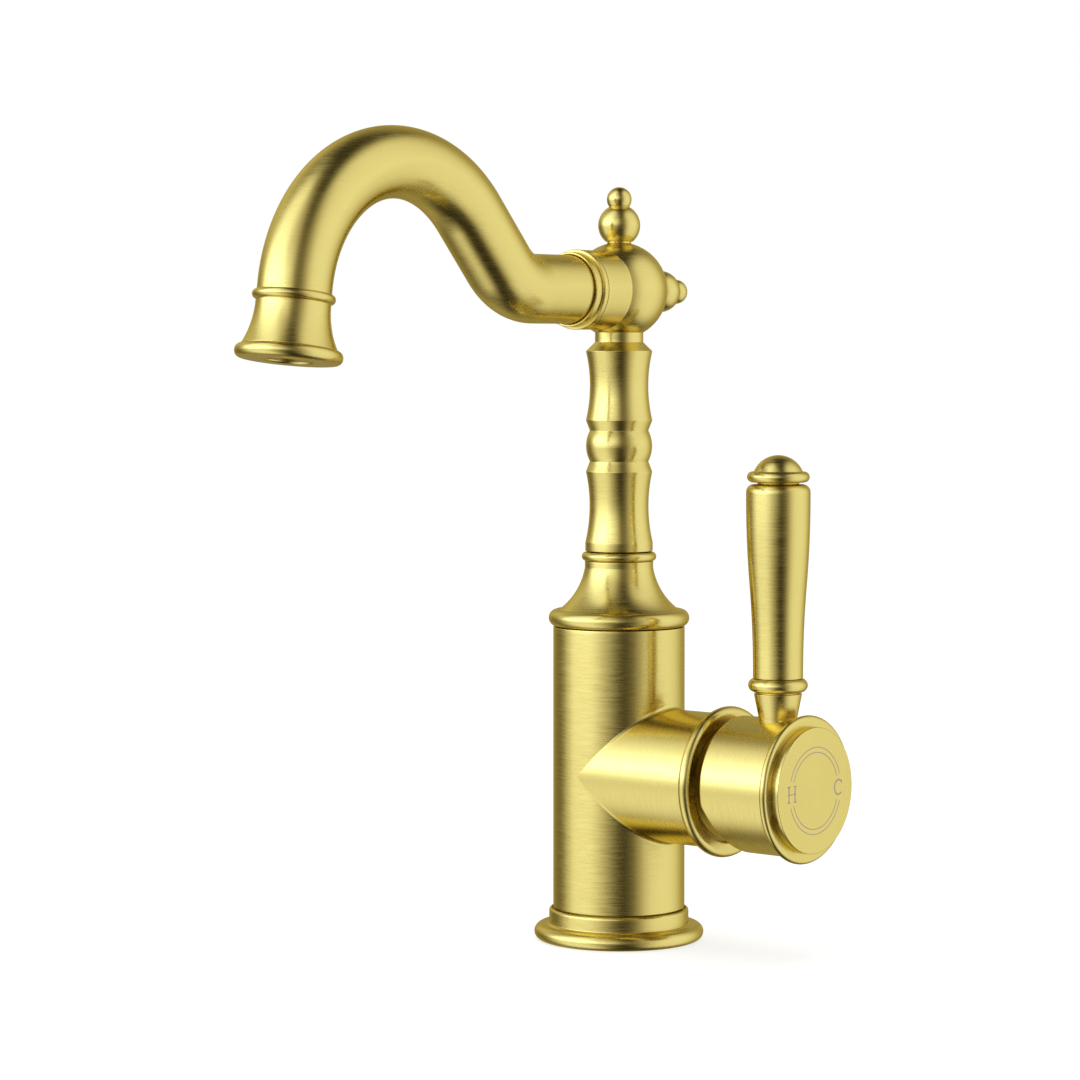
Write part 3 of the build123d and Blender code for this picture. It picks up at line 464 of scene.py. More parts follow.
addTurned("ballTee", "spout", "ball_tee", ballTeeOutline(**ballTee), spoutRun, goldUpright)

finial = {
    "thread": 2.4, "threadFoot": 11.82, "neck": 4.2, "neckFoot": 16.32, "neckHeight": 0.7,
    "ball": 7.3, "ballHeight": 22.6, "tip": 4.3, "tipHeight": 31.6,
}


def finialOutline(thread, threadFoot, neck, neckFoot, neckHeight, ball, ballHeight, tip, tipHeight):
    # Threaded tail, short neck, ball, and a smaller ball that meets it where both circles cross
    gap = tipHeight - ballHeight
    meet = (gap ** 2 + ball ** 2 - tip ** 2) / (2 * gap)
    collar = neckFoot + neckHeight
    return [
        (0, threadFoot), (thread, threadFoot), (thread, neckFoot), (neck, neckFoot), (neck, collar),
        (math.sqrt(ball ** 2 - (ballHeight - collar) ** 2), collar), (ball, ballHeight, -ball),
        (math.sqrt(ball ** 2 - meet ** 2), ballHeight + meet, -ball),
        (tip, tipHeight, -tip), (0, tipHeight + tip, -tip),
    ]


addTurned("topFinial", "spout", "top_finial", finialOutline(**finial), teeUp, goldUpright, soften=0.1)
addTurned("rearFinial", "spout", "rear_finial", finialOutline(**finial), teeBack, goldUpright, soften=0.1)

spoutNut = {
    "thread": 12.8, "start": 22.25, "rim": 13.72, "rimEdge": 0.3, "rimEnd": 24.25,
    "step": 12.8, "stepEdge": 0.3, "end": 27.6, "hole": 11.8, "recess": 0.3, "threadEnd": 24.05,
}


def spoutNutOutline(thread, start, rim, rimEdge, rimEnd, step, stepEdge, end, hole, recess, threadEnd):
    # Two steps with rounded edges, a small recess round the tube, and the thread inside
    return [
        (thread, start), (rim - rimEdge, start), (rim, start + rimEdge, -rimEdge),
        (rim, rimEnd - rimEdge), (rim - rimEdge, rimEnd, -rimEdge), (step, rimEnd),
        (step, end - stepEdge), (step - stepEdge, end, -stepEdge), (hole + recess, end),
        (hole + recess, end - recess), (hole, end - 2 * recess), (hole, threadEnd), (thread, threadEnd),
    ]


addTurned("spoutNut", "spout", "spout_nut", spoutNutOutline(**spoutNut), spoutRun, goldUpright,
          soften=0.08)

spoutTube = {
    "start": 11.2, "run": 35.5, "riseRadius": 23.0, "riseAngle": 48.0, "climb": 22.3,
    "archRadius": 47.0, "outletTilt": 7.5, "drop": 3.1, "tip": 0.95, "radius": 11.75, "wall": 1.3,
}
archAngle = 90 + spoutTube["riseAngle"] - spoutTube["outletTilt"]
spoutLengths = np.cumsum([
    0, spoutTube["run"], math.radians(spoutTube["riseAngle"]) * spoutTube["riseRadius"],
    spoutTube["climb"], math.radians(archAngle) * spoutTube["archRadius"], spoutTube["drop"],
    spoutTube["tip"],
])
outletHeading = spoutTube["riseAngle"] - archAngle
spoutHeadings = np.radians([0, 0, *[spoutTube["riseAngle"]] * 2, *[outletHeading] * 3])


def spoutPath(along):
    # The heading grows evenly along each bend; the centre is the running sum of its cosine and sine
    steps = np.linspace(0, spoutLengths[-1], turning["pathSteps"] + 1)
    heading = np.interp(steps, spoutLengths, spoutHeadings)
    both = np.stack([np.cos(heading), np.sin(heading)], 1)
    moves = (both[1:] + both[:-1]) / 2 * steps[1]
    sums = np.concatenate([np.zeros((1, 2)), np.cumsum(moves, axis=0)])
    reach, rise = (np.interp(along, steps, sums[:, k]) for k in (0, 1))
    turn = np.interp(along, spoutLengths, spoutHeadings)
    flat = np.zeros_like(along)
    centre = np.stack([flat, -spoutTube["start"] - reach, spoutHeight + rise], 1)
    return centre, np.stack([flat, -np.cos(turn), np.sin(turn)], 1), np.array((1.0, 0, 0))


tubeRadius, tubeEnd = spoutTube["radius"], spoutLengths[-1]
tubeBore = tubeRadius - spoutTube["wall"]
tubeOutline = [(tubeBore, 0), (tubeRadius, 0), (tubeRadius, tubeEnd), (tubeBore, tubeEnd)]
addTurned("swanNeck", "spout", "spout_tube", tubeOutline, spoutPath, goldUpright, lengthPerRing=1.2)

outletBell = {
    "bead": 13.1, "beadHeight": 3.1, "waist": 11.8, "flare": 15.1, "flareLength": 14.2, "flareSag": 0.9,
    "rim": 17.0, "rimHeight": 4.5, "rimEdge": 2.1, "mouth": 7.85, "mouthEdge": 0.5, "seatDepth": 10.8,
    "throat": 6.8, "throatStart": 6.0, "bore": 8.8, "socket": 1.0,
}


def outletBellOutline(bead, beadHeight, waist, flare, flareLength, flareSag, rim, rimHeight, rimEdge,
                      mouth, mouthEdge, seatDepth, throat, throatStart, bore, socket):
    # Bead, hollow flare and rounded rim, then the aerator's seat, the throat and the tube's socket
    half = beadHeight / 2
    beadArc = arcRadius(2 * half, bead - waist)
    start = half + flareLength
    end = start + rimHeight
    return [
        (waist, -half), (bead, 0, -beadArc), (waist, half, -beadArc),
        (flare, start, arcRadius(math.hypot(flare - waist, flareLength), flareSag)),
        (rim - rimEdge, start), (rim, start + rimEdge, -rimEdge), (rim, end - rimEdge),
        (rim - rimEdge, end, -rimEdge), (mouth + mouthEdge, end), (mouth, end - mouthEdge),
        (mouth, end - seatDepth), (throat, end - seatDepth), (throat, throatStart), (bore, throatStart),
        (bore, socket), (waist, socket),
    ]


beadPlace, outletAxis, outletSide = spoutPath(spoutLengths[5:6])
outlet = straightAxis(beadPlace[0], outletAxis[0], outletSide)
addTurned("outletBell", "spout", "outlet_bell", outletBellOutline(**outletBell), outlet, goldUpright)

bossRing = {
    "lip": 19.1, "lipThickness": 1.1, "rim": 25.65, "thickness": 4.1, "hole": 20.4, "holeEdge": 0.5,
}


def bossRingOutline(lip, lipThickness, rim, thickness, hole, holeEdge):
    # Half-round rim with a stepped hole, whose lip the nut holds against the boss
    start = bossEnd + slip
    end = start + thickness
    return [
        (lip, start), *halfRound(rim, start, end), (hole + holeEdge, end),
        (hole, end - holeEdge, -holeEdge), (hole, start + lipThickness), (lip, start + lipThickness),
    ]


addTurned("bossRing", "body", "boss_ring", bossRingOutline(**bossRing), boss, goldSideways)

ringNut = {
    "bore": 12.6, "foot": 38.05, "thread": 18.95, "flange": 20.35, "flangeThickness": 1.0,
    "domeFoot": 18.2, "domeHeight": 3.6, "domeArc": 19.0, "mouth": 10.6, "step": 41.4,
    "notches": 6, "notchWidth": 3.0, "notchSlope": 0.8, "notchFloor": 18.97,
}


def ringNutGrid(bore, foot, thread, flange, flangeThickness, domeFoot, domeHeight, domeArc, mouth, step,
                notches, notchWidth, notchSlope, notchFloor):
    # Threaded skirt, flange and domed front, turned; then the flange is drawn in to the floor of each
    # key notch by how far its sloping side has come
    seat = bossEnd + 2 * slip + bossRing["lipThickness"]
    front = seat + flangeThickness
    grid, facing = turnedGrid([
        (bore, foot), (thread, foot), (thread, seat), (flange, seat), (flange, front), (domeFoot, front),
        (mouth, front + domeHeight, -domeArc), (mouth, step), (bore, step),
    ], boss)
    flat = grid[..., 1:] - (0, bossHeight)
    radius = np.linalg.norm(flat, axis=-1)
    angle = np.arctan2(flat[..., 1], flat[..., 0])
    nearest = np.abs(angle * notches / (2 * math.pi) % 1 - 0.5) * 2 * math.pi / notches * flange
    depth = np.clip((notchWidth + notchSlope) / 2 - nearest, 0, notchSlope) / notchSlope
    drawn = np.minimum(radius, notchFloor)
    grid[..., 1:] = flat * ((radius + (drawn - radius) * depth) / radius)[..., None] + (0, bossHeight)
    return grid, facing


# Its darker, browner colour is painted shade for the gap between the boss ring and the hub
addPiece("ringNut", "body", "cartridge_nut", [ringNutGrid(**ringNut)], [recessShadeBrass])

faceCap = {
    "plug": 17.3, "plugWall": 1.6, "plugFoot": 77.2, "seat": 81.25,
    "radius": 21.1, "edge": 0.3, "front": 84.1, "thickness": 2.2,
}


def faceCapOutline(plug, plugWall, plugFoot, seat, radius, edge, front, thickness):
    # Hollow plug, straight wall, and the flat face with its eased edge
    return [
        (0, front - thickness), (plug - plugWall, front - thickness), (plug - plugWall, plugFoot),
        (plug, plugFoot), (plug, seat), (radius, seat), (radius, front - edge),
        (radius - edge, front, -edge), (0, front),
    ]


addTurned("handleFace", "lever", "face_cap", faceCapOutline(**faceCap), boss, goldSpun, soften=0.06)

handleHub = {
    "cavity": 19.4, "rear": 52.4, "rearEdge": 1.2, "cavityDepth": 11.0, "cavityCorner": 1.5,
    "socket": 7.7, "socketLength": 7.0, "flangeStart": 78.6, "cove": 0.6, "flange": 24.85, "front": 81.2,
    "recess": 17.35, "recessDepth": 4.4,
    "cutAngle": 22.4, "cutStart": 5.5, "screwHole": 2.55, "screwHoleDepth": 12.0, "cutterRun": 1.0,
}


def handleHubGrid(cavity, rear, rearEdge, cavityDepth, cavityCorner, socket, socketLength, flangeStart,
                  cove, flange, front, recess, recessDepth, cutAngle, cutStart, **hole):
    # Turned from the socket through the cavity to the rear lip, along the outside to the rim and into the
    # recess; then the rear comes forward below the axis by tan(angle) times the depth, fading to the web
    web = rear + cavityDepth
    grid, facing = turnedGrid([
        (0, web - socketLength), (socket, web - socketLength), (socket, web),
        (cavity - cavityCorner, web), (cavity, web - cavityCorner, cavityCorner), (cavity, rear),
        (bodyRadius - rearEdge, rear), (bodyRadius, rear + rearEdge, -rearEdge),
        (bodyRadius, flangeStart - cove), (bodyRadius + cove, flangeStart, cove),
        *halfRound(flange, flangeStart, front), (recess, front), (recess, front - recessDepth),
        (0, front - recessDepth),
    ], boss, around=192, lengthPerRing=1.2)
    below = np.maximum(0, bossHeight - cutStart - grid[..., 2])
    fade = np.clip((web - grid[..., 0]) / cavityDepth, 0, 1)
    grid[..., 0] += math.tan(math.radians(cutAngle)) * below * fade
    return grid, facing


hub = addPiece("handleHub", "lever", "handle_hub", [handleHubGrid(**handleHub)], [goldSideways],
               exact=False)


def cutHole(piece, outline, path):
    # The piece less a turned cutter, worked out exactly
    cutter = addPiece("cutter", "body", None, [turnedGrid(outline, path, around=64)], [])
    cut = piece.modifiers.new("hole", "BOOLEAN")
    cut.operation, cut.solver, cut.object = "DIFFERENCE", "EXACT", cutter
    whole = piece.data
    evaluated = piece.evaluated_get(bpy.context.evaluated_depsgraph_get())
    piece.data = bpy.data.meshes.new_from_object(evaluated)
    piece.modifiers.clear()
    bpy.data.objects.remove(cutter)
    bpy.data.meshes.remove(whole)
    piece.data.set_sharp_from_angle(angle=math.radians(turning["sharpCut"]))


holeRadius, holeMouth = handleHub["screwHole"], -2 * bodyRadius
holeStart, holeEnd = holeMouth - handleHub["cutterRun"], holeMouth + handleHub["screwHoleDepth"]
cutHole(hub, [(0, holeStart), (holeRadius, holeStart), (holeRadius, holeEnd), (0, holeEnd)], lever)

leverStem = {
    "thread": 4.0, "threadFoot": -12.6, "foot": 6.4, "seat": -1.55, "head": 8.1, "headTop": 8.6,
    "groove": 6.9, "bead": 10.0, "beadFoot": 9.1, "beadTop": 13.7, "rod": 3.0, "rodEnd": 83.8,
}


def leverStemOutline(thread, threadFoot, foot, seat, head, headTop, groove, bead, beadFoot, beadTop, rod,
                     rodEnd):
    # Thread in the hub, widening foot, narrow groove, bead, and the rod through the grip
    return [
        (0, threadFoot), (thread, threadFoot), (thread, seat), (foot, seat), (foot, 0), (head, headTop),
        (groove, headTop), (groove, beadFoot), *halfRound(bead, beadFoot, beadTop), (rod, beadTop),
        (rod, rodEnd), (0, rodEnd),
    ]


addTurned("leverStem", "lever", "lever_stem", leverStemOutline(**leverStem), lever, goldUpright)

leverGrip = {
    "rod": 3.05, "foot": 13.75, "top": 78.75, "small": 8.4, "large": 10.8, "straight": 1.5,
    "shoulder": 2.6,
}


def leverGripOutline(rod, foot, top, small, large, straight, shoulder):
    # Sleeve whose taper is two equal arcs, upright at both ends, under a rounded shoulder
    low, high = foot + straight, top - shoulder - straight
    swell = (large - small) / 2
    arc = arcRadius(high - low, swell)
    return [
        (rod, foot), (small, foot), (small, low), (small + swell, (low + high) / 2, arc),
        (large, high, -arc), (large, top - shoulder), (large - shoulder, top, -shoulder), (rod, top),
    ]


addTurned("leverGrip", "lever", "lever_grip", leverGripOutline(**leverGrip), lever, goldUpright)

leverEnd = {
    "rod": 3.05, "foot": 78.8, "neck": 7.0, "neckHeight": 0.6, "bead": 10.5, "beadHeight": 3.6,
    "dome": 8.2, "domeHeight": 5.5, "holeEnd": 83.85,
}


def leverEndOutline(rod, foot, neck, neckHeight, bead, beadHeight, dome, domeHeight, holeEnd):
    # Neck, bead and dome, with the rod's hole below
    low = foot + neckHeight
    high = low + beadHeight
    return [
        (0, holeEnd), (rod, holeEnd), (rod, foot), (neck, foot), (neck, low), *halfRound(bead, low, high),
        (dome, high), (0, high + domeHeight, -arcRadius(2 * dome, domeHeight)),
    ]


addTurned("leverEnd", "lever", "lever_end_cap", leverEndOutline(**leverEnd), lever, goldUpright)
print("turned pieces built")

mainBody = {
    "spigot": 20.2, "seat": 6.05, "low": 12.0, "high": 105.0, "cup": 19.4, "cupDepth": 9.0,
    "nutBore": 19.0, "nutBoreEnd": 37.6, "chamber": 17.7, "chamberEnd": 11.5, "bossStart": 44.0,
    "seamFillet": 1.5, "around": 192, "rows": 30, "filletRows": 9, "lip": 0.8,
    "groove": 0.7, "grooveLow": 9.8, "grooveHigh": 11.3,
}
# Blind threaded bores in the underside: place, minor radius, pitch and depth of thread; M10 x 1 and M8
bodyBores = [((0, -7), 4.5, 1.0, 0.5), ((0, 7), 4.5, 1.0, 0.5), ((-12, 0), 3.4, 1.25, 0.6)]
boreShape = {"depth": 12.0, "lip": 0.5, "mouth": 0.55, "land": 0.25, "around": 72, "rowsPerTurn": 9}


def threadedBore(place, radius, pitch, groove, depth, lip, mouth, land, around, rowsPerTurn):
    # radius + groove * (1 - |2 ((height / pitch - turns) mod 1) - 1|), which fades within a pitch of
    # either end; a flat land and a wider mouth at the foot, and a flat floor
    angle = np.linspace(0, 2 * math.pi, around + 1)[None, :]
    height = np.linspace(lip, depth, round(depth / pitch) * rowsPerTurn)[:, None]
    wave = 1 - np.abs(2 * ((height / pitch - angle / (2 * math.pi)) % 1) - 1)
    fade = np.clip(np.minimum(height - lip, depth - 2 * pitch - height) / pitch, 0, 1)
    foot = radius + mouth + np.array([[land], [0]]) + 0 * angle
    reach = np.concatenate([foot, radius + groove * wave * fade, 0 * angle])
    height = np.concatenate([[[0], [0]], height, [[depth]]]) + 0 * angle
    x, y = place[0] + reach * np.cos(angle), place[1] + reach * np.sin(angle)
    grid = np.stack([x, y, height], -1)[:, ::-1]
    facing = np.cross(np.gradient(grid, axis=1), np.gradient(grid, axis=0))
    facing[0] = facing[-1] = (0, 0, -1)
    return grid, facing / np.maximum(np.linalg.norm(facing, axis=-1), 1e-9)[..., None]


def saddleGrid(side, low, fillet, around, rows, filletRows):
    # At each y the body's front is an L: up the column x = R cos a, round a small fillet, and out along
    # the boss z = h -+ R cos a. The fillet shrinks to nothing at the sides, where the L lies in line.
    angle = np.linspace(-math.pi / 2, math.pi / 2, around // 2 + 1)[None, :]
    depth, across = bodyRadius * np.cos(angle), bodyRadius * np.sin(angle)
    curve = fillet * np.sqrt(np.cos(angle).clip(0))
    share = np.sin(np.linspace(0, math.pi / 2, rows))[:, None]
    bend = np.linspace(0, math.pi / 2, filletRows)[:, None]
    reach = 1 - np.cos(np.linspace(0, math.pi / 2, rows))[:, None]
    corner = bossHeight - side * depth
    columnX, columnZ = depth + 0 * share, low + share * (corner - side * curve - low)
    filletX = depth + curve * (1 - np.cos(bend))
    filletZ = corner - side * curve * (1 - np.sin(bend))
    bossX = depth + curve + reach * (mainBody["bossStart"] - depth - curve)
    bossZ = corner + 0 * reach
    x = np.concatenate([columnX, filletX[1:], bossX[1:]])
    z = np.concatenate([columnZ, filletZ[1:], bossZ[1:]])
    lean = np.concatenate([0 * share, bend[1:], 0 * reach[1:] + math.pi / 2])
    grid = np.stack([x, across + 0 * x, z], -1)
    facing = np.stack([np.cos(angle) * np.cos(lean), np.sin(angle) + 0 * lean,
                       -side * np.cos(angle) * np.sin(lean)], -1)
    return (grid, facing) if side > 0 else (grid[:, ::-1], facing[:, ::-1])


def backGrid(low, high, around, rows):
    # Back half of the column, with the rows of the two saddles
    share = np.sin(np.linspace(0, math.pi / 2, rows))
    below, above = (end + share * (bossHeight - end) for end in (low, high))
    height = np.concatenate([below, above[-2::-1]])
    angle = np.linspace(math.pi / 2, 3 * math.pi / 2, around // 2 + 1)[None, :]
    flat = 0 * height[:, None]
    grid = np.stack([bodyRadius * np.cos(angle) + flat, bodyRadius * np.sin(angle) + flat,
                     height[:, None] + 0 * angle], -1)
    return grid, np.stack([np.cos(angle) + flat, np.sin(angle) + flat, 0 * grid[..., 0]], -1)


def mainBodyGrids(spigot, seat, low, high, cup, cupDepth, nutBore, nutBoreEnd, chamber, chamberEnd,
                  bossStart, seamFillet, around, rows, filletRows, lip, groove, grooveLow, grooveHigh):
    # Foot with a groove at the collar, lower and upper saddle, back of the column, cup for the cap's
    # thread, the boss's bore and the underside's
    foot = turnedGrid([
        "free", (spigot - lip, 0), (spigot, 0), (spigot, seat), (bodyRadius, seat),
        (bodyRadius, grooveLow), (bodyRadius - groove, grooveLow), (bodyRadius - groove, grooveHigh),
        (bodyRadius, grooveHigh), (bodyRadius, low)], upright, around, soften=0.1)
    top = turnedGrid([
        "free", (bodyRadius, high), (bodyRadius, bodyTop), (cup, bodyTop), (cup, bodyTop - cupDepth),
        (0, bodyTop - cupDepth)], upright, around)
    bore = turnedGrid([
        "free", (bodyRadius, bossStart), (bodyRadius, bossEnd), (nutBore, bossEnd), (nutBore, nutBoreEnd),
        (chamber, nutBoreEnd), (chamber, chamberEnd), (0, chamberEnd)], boss, around)
    return [
        foot, top, bore, backGrid(low, high, around, rows),
        saddleGrid(1, low, seamFillet, around, rows, filletRows),
        saddleGrid(-1, high, seamFillet, around, rows, filletRows),
        *[threadedBore(*hole, **boreShape) for hole in bodyBores],
    ]


body = addPiece("mixerBody", "body", "main_body", mainBodyGrids(**mainBody), [goldUpright, goldSideways],
                fill=True)
# The boss is brushed round its own axis: faces whose middle lies further out than the seam, and past the
# column's axis, take that finish
bossFinish = {"pastSeam": 0.2, "pastAxis": 0.5}
centres = np.zeros(len(body.data.polygons) * 3)
body.data.polygons.foreach_get("center", centres)
centres = centres.reshape(-1, 3) / mm
pastSeam = centres[:, 0] > np.abs(centres[:, 2] - bossHeight) + bossFinish["pastSeam"]
onBoss = pastSeam & (centres[:, 0] > bossFinish["pastAxis"])
body.data.polygons.foreach_set("material_index", onBoss.astype(np.int32))
print("body built")

faceMarks = {
    "centre": 13.2, "letterHeight": 5.5, "letterWidth": 5.1, "stroke": 0.55, "serif": 1.7,
    "serifWidth": 0.3, "cOpening": 46.0, "beakOut": 0.15, "beakUp": 0.5, "beakDown": 0.7,
    "rings": (14.5, 12.8), "ringWidth": 0.3, "gap": 18.0, "proud": 0.02, "depth": 0.1,
}


def strokeGrid(line, width, proud, depth):
    # A line of (y, z) points on the face, given a width along its normal and a depth, closed at both ends
    line = np.array(line, float)
    along = np.gradient(line, axis=0)
    along /= np.linalg.norm(along, axis=1)[:, None]
    normal = np.stack([-along[:, 1], along[:, 0]], 1) * width / 2
    front, back = faceCap["front"] + proud, faceCap["front"] - depth
    ring = [(-1, back), (1, back), (1, front), (-1, front), (-1, back)]
    sides = [np.concatenate([np.full((len(line), 1), x), line + s * normal], 1) for s, x in ring]
    grid = np.stack(sides, 1) + (0, 0, bossHeight)
    caps = [np.broadcast_to(g.mean(0), g.shape)[None] for g in (grid[0], grid[-1])]
    grid = np.concatenate([caps[0], grid, caps[1]])
    return grid, np.zeros_like(grid)


def arcLine(radius, start, end, centre=0.0, squash=1.0, count=48):
    # Points of a circle about (centre, 0) between two angles in degrees
    angle = np.radians(np.linspace(start, end, count))
    return np.stack([centre + squash * radius * np.cos(angle), radius * np.sin(angle)], 1)


def faceMarkGrids(centre, letterHeight, letterWidth, stroke, serif, serifWidth, cOpening, beakOut, beakUp,
                  beakDown, rings, ringWidth, gap, **heights):
    # Two rings broken at the letters, and two letters with serifs: H on the hot side, C on the cold
    arcs = [arcLine(r, s + gap, s + 180 - gap) for r in rings for s in (0, 180)]
    high, apart = (letterHeight - serifWidth) / 2, (letterWidth - serif) / 2
    stems = [[(s * apart - centre, -high), (s * apart - centre, high)] for s in (-1, 1)]
    feet = [[(s * apart - centre + t * serif / 2, h * high) for t in (-1, 1)]
            for s in (-1, 1) for h in (-1, 1)]
    bar = [(-apart - centre, 0), (apart - centre, 0)]
    squash = letterWidth / letterHeight
    bow = arcLine((letterHeight - stroke) / 2, cOpening, 360 - cOpening, centre, squash)
    beak = [bow[0] + (beakOut, beakUp), bow[0] + (beakOut, -beakDown)]
    drawn = [(ringWidth, arcs), (stroke, (*stems, bow)), (serifWidth, (*feet, bar, beak))]
    return [strokeGrid(line, width, **heights) for width, lines in drawn for line in lines]


marks = addPiece("faceMarks", "lever", None, faceMarkGrids(**faceMarks), [laserMark], exact=False)
solid = bmesh.new()
solid.from_mesh(marks.data)
bmesh.ops.recalc_face_normals(solid, faces=solid.faces)
solid.to_mesh(marks.data)
solid.free()
marks.data.set_sharp_from_angle(angle=math.radians(turning["sharpMark"]))
print("marks built")

# The photograph's viewpoint: level with the top of the column, through a long lens
view = {
    "place": (0.7294, -0.9007, 0.2045), "azimuth": 39.0, "yaw": 1.362, "pitch": 1.376,
    "shift": -0.10, "lens": 111.0, "sensor": 36,
}
camera = addObject("camera", bpy.data.cameras.new("camera"))
camera.location = view["place"]
camera.rotation_euler = np.radians([90 - view["pitch"], 0, view["azimuth"] + view["yaw"]])
camera.data.lens, camera.data.sensor_width = view["lens"], view["sensor"]
camera.data.shift_y = view["shift"]
bpy.context.scene.camera = camera

# White sweep: lit paper that also glows for the camera, so that it is white and still takes the shadow
sweep = {"size": 12.0, "paper": "#B4B4B2", "glow": 0.68}
half = sweep["size"] / 2
corners = [(-half, -half, 0), (half, -half, 0), (half, half, 0), (-half, half, 0)]
paper = bpy.data.meshes.new("floor")
paper.from_pydata(corners, [], [(0, 1, 2, 3)])
floor = addObject("floor", paper)
floor.visible_glossy = False  # the metal mirrors the studio, which goes on below the horizon
material, tree = newMaterial("whitePaper")
rays = addNode(tree, "LightPath").node.outputs
seen = addNode(tree, "Math", {"operation": "ADD"}, links={
    0: rays["Is Camera Ray"], 1: rays["Is Transmission Ray"]})
glow = addNode(tree, "Math", {"operation": "MULTIPLY"}, {1: sweep["glow"]}, {0: seen})
light = addNode(tree, "Emission", links={"Strength": glow})
matt = addNode(tree, "BsdfDiffuse", values={"Color": linear(sweep["paper"])})
both = addNode(tree, "AddShader", links={0: light, 1: matt})
addNode(tree, "OutputMaterial", links={"Surface": both})
paper.materials.append(material)

# Studio: a bright softbox to the left of the camera, weaker ones above it and beyond on the left, a broad
# one to the right and a pale wall behind. Bearings are degrees to the right of the line from the object
# to the camera; lifts are degrees up, in the plane that faces the box. Each pair is an angle and the
# light there. The fill lights what doesn't mirror, the ambient is the room between the boxes, and weak
# and strong light take the dim and the lit tint.
studio = {"fill": 0.75, "ambient": 0.048, "dim": "#E8DCB8", "lit": "#E8F6FF", "litLevel": 2.0}
softboxes = [
    {  # left
        "faces": -65, "gain": 3.25,
        "bearings": [(-180, 0), (-146, 0), (-128, 0.04), (-114, 0.2), (-101, 0.6), (-86, 1), (-56, 1),
                     (-48, 0.93), (-38, 0.74), (-28, 0.5), (-18, 0.27), (-8, 0.09), (2, 0)],
        "lifts": [(-90, 0), (-78, 0.1), (-66, 0.33), (-55, 0.42), (-46, 0.43), (-36, 0.42), (-22, 0.4),
                  (-9, 0.35), (-4, 0.4), (1, 0.53), (6, 0.8), (11, 1), (14, 0.98), (25, 0.75), (36, 0.55),
                  (50, 0.48), (60, 0.46), (68, 0.43), (75, 0.18), (82, 0.04), (90, 0)],
    },
    {  # above the camera
        "faces": -10, "gain": 0.95,
        "bearings": [(-60, 0), (-40, 0.25), (-28, 0.5), (-18, 0.95), (-8, 1), (0, 0.65), (8, 0.3),
                     (18, 0.14), (30, 0.1), (45, 0)],
        "lifts": [(-6, 0), (0, 0.25), (8, 0.85), (16, 1), (27, 0.82), (40, 0.42), (54, 0.34), (66, 0.24),
                  (76, 0.08), (86, 0)],
    },
    {  # beyond, on the left
        "faces": -130, "gain": 0.68,
        "bearings": [(-170, 0), (-158, 0.35), (-146, 0.75), (-136, 1), (-124, 0.95), (-112, 0.68),
                     (-100, 0.42), (-88, 0)],
        "lifts": [(-84, 0), (-68, 0.3), (-52, 0.36), (-36, 0.16), (-20, 0.12), (0, 0.16), (7, 0.4),
                  (15, 0.85), (28, 1), (42, 0.68), (54, 0.46), (66, 0.3), (80, 0)],
    },
    {  # right
        "faces": 82, "gain": 1.32,
        "bearings": [(10, 0), (24, 0.12), (36, 0.41), (47, 0.75), (60, 0.96), (75, 1), (95, 1),
                     (112, 0.91), (126, 0.72), (142, 0.4), (160, 0.16), (180, 0)],
        "lifts": [(-90, 0), (-66, 0.06), (-55, 0.62), (-43, 0.9), (-20, 0.94), (-4, 0.95), (5, 1),
                  (18, 0.96), (35, 0.93), (45, 0.91), (54, 0.85), (62, 0.56), (69, 0.18), (76, 0),
                  (90, 0)],
    },
    {  # behind
        "faces": 180, "gain": 0.55,
        "bearings": [(-180, 1), (-156, 1), (-138, 0.3), (-122, 0), (132, 0), (148, 0.3), (164, 0.85),
                     (180, 1)],
        "lifts": [(-90, 0), (-68, 0.05), (-54, 0.6), (-42, 0.9), (-28, 0.9), (-12, 0.74), (5, 1), (30, 1),
                  (44, 0.82), (54, 0.42), (64, 0), (90, 0)],
    },
]
world = bpy.data.worlds.new("studio")
bpy.context.scene.world = world
world.use_nodes = True
tree = world.node_tree
tree.nodes.clear()


def lightRamp(levels, turn, value):
    # A smooth ramp through the levels, each at its angle's share of the turn, counted from the middle
    ramp = addNode(tree, "ValToRGB", links={"Fac": value}, output="Color")
    ramp.node.color_ramp.interpolation = "EASE"
    elements = ramp.node.color_ramp.elements
    for angle, _ in levels[1:-1]:
        elements.new(angle / turn + 0.5)
    for element, (angle, level) in zip(elements, levels):
        element.position, element.color = angle / turn + 0.5, (level, level, level, 1)
    return ramp


towards = addNode(tree, "TexCoord", output="Generated")
turned = addNode(tree, "Mapping", {"vector_type": "VECTOR"}, {
    "Rotation": (0, 0, math.radians(90 - view["azimuth"]))}, {"Vector": towards})
bearing = addNode(tree, "TexGradient", {"gradient_type": "RADIAL"}, links={
    "Vector": turned}, output="Fac")
height = addNode(tree, "SeparateXYZ", links={0: turned}, output="Z")


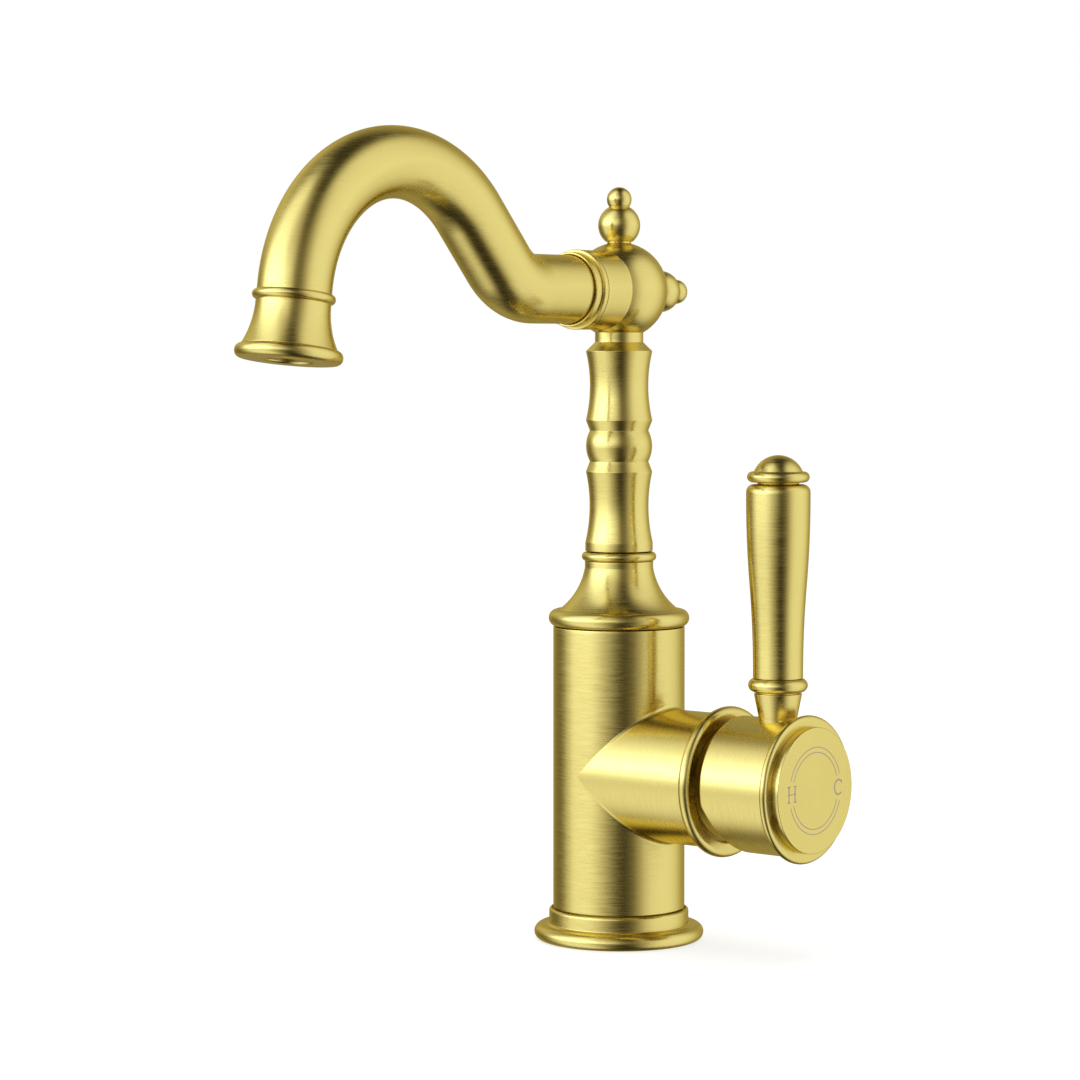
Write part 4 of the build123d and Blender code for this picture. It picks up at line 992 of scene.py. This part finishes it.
def softbox(faces, gain, bearings, lifts):
    # Light by bearing times light by lift times the gain; the lift is atan(height / distance towards the
    # box), as a share of half a turn
    middle = (math.cos(math.radians(faces)), math.sin(math.radians(faces)), 0)
    nearness = addNode(tree, "VectorMath", {"operation": "DOT_PRODUCT"}, {1: middle}, {
        0: turned}, output="Value")
    away = addNode(tree, "Math", {"operation": "ABSOLUTE"}, links={0: nearness})
    lift = addNode(tree, "Math", {"operation": "ARCTAN2"}, links={0: height, 1: away})
    share = addNode(tree, "Math", {"operation": "MULTIPLY_ADD"}, {1: 1 / math.pi, 2: 0.5}, {0: lift})
    both = addNode(tree, "Math", {"operation": "MULTIPLY"}, links={
        0: lightRamp(bearings, 360, bearing), 1: lightRamp(lifts, 180, share)})
    return addNode(tree, "Math", {"operation": "MULTIPLY"}, {1: gain}, {0: both})


# The light is the sum of the room and the boxes, warm where it is weak and cooler where it is strong
light = addNode(tree, "Value")
light.default_value = studio["ambient"]
for box in softboxes:
    light = addNode(tree, "Math", {"operation": "ADD"}, links={0: light, 1: softbox(**box)})
strength = addNode(tree, "Math", {"operation": "DIVIDE", "use_clamp": True}, {
    1: studio["litLevel"]}, {0: light})
tint = addNode(tree, "Mix", {"data_type": "RGBA"}, {
    "A": linear(studio["dim"]), "B": linear(studio["lit"])}, {"Factor": strength}, output="Result")
bright = addNode(tree, "VectorMath", {"operation": "SCALE"}, links={0: tint, "Scale": light})
rays = addNode(tree, "LightPath").node.outputs
seen = addNode(tree, "Math", {"operation": "ADD", "use_clamp": True}, links={
    0: rays["Is Camera Ray"], 1: rays["Is Transmission Ray"]})
reflected = addNode(tree, "Mix", {"data_type": "RGBA"}, {"A": (*[studio["fill"]] * 3, 1)}, {
    "Factor": rays["Is Glossy Ray"], "B": bright}, output="Result")
shown = addNode(tree, "Mix", {"data_type": "RGBA"}, {"B": (1, 1, 1, 1)}, {
    "Factor": seen, "A": reflected}, output="Result")
sky = addNode(tree, "Background", links={"Color": shown})
addNode(tree, "OutputWorld", links={"Surface": sky})

# One wide lamp overhead for the shadow under the foot; the metal doesn't mirror it
overhead = {"place": (0.1, -0.25, 1.6), "size": 1.4, "watts": 9.0}
lamp = bpy.data.lights.new("overhead", "AREA")
lamp.shape, lamp.size, lamp.energy = "DISK", overhead["size"], overhead["watts"]
lampObject = addObject("overhead", lamp)
lampObject.location = overhead["place"]
lampObject.visible_glossy = False
bpy.context.scene.view_settings.view_transform = "Standard"
print("studio and camera ready")
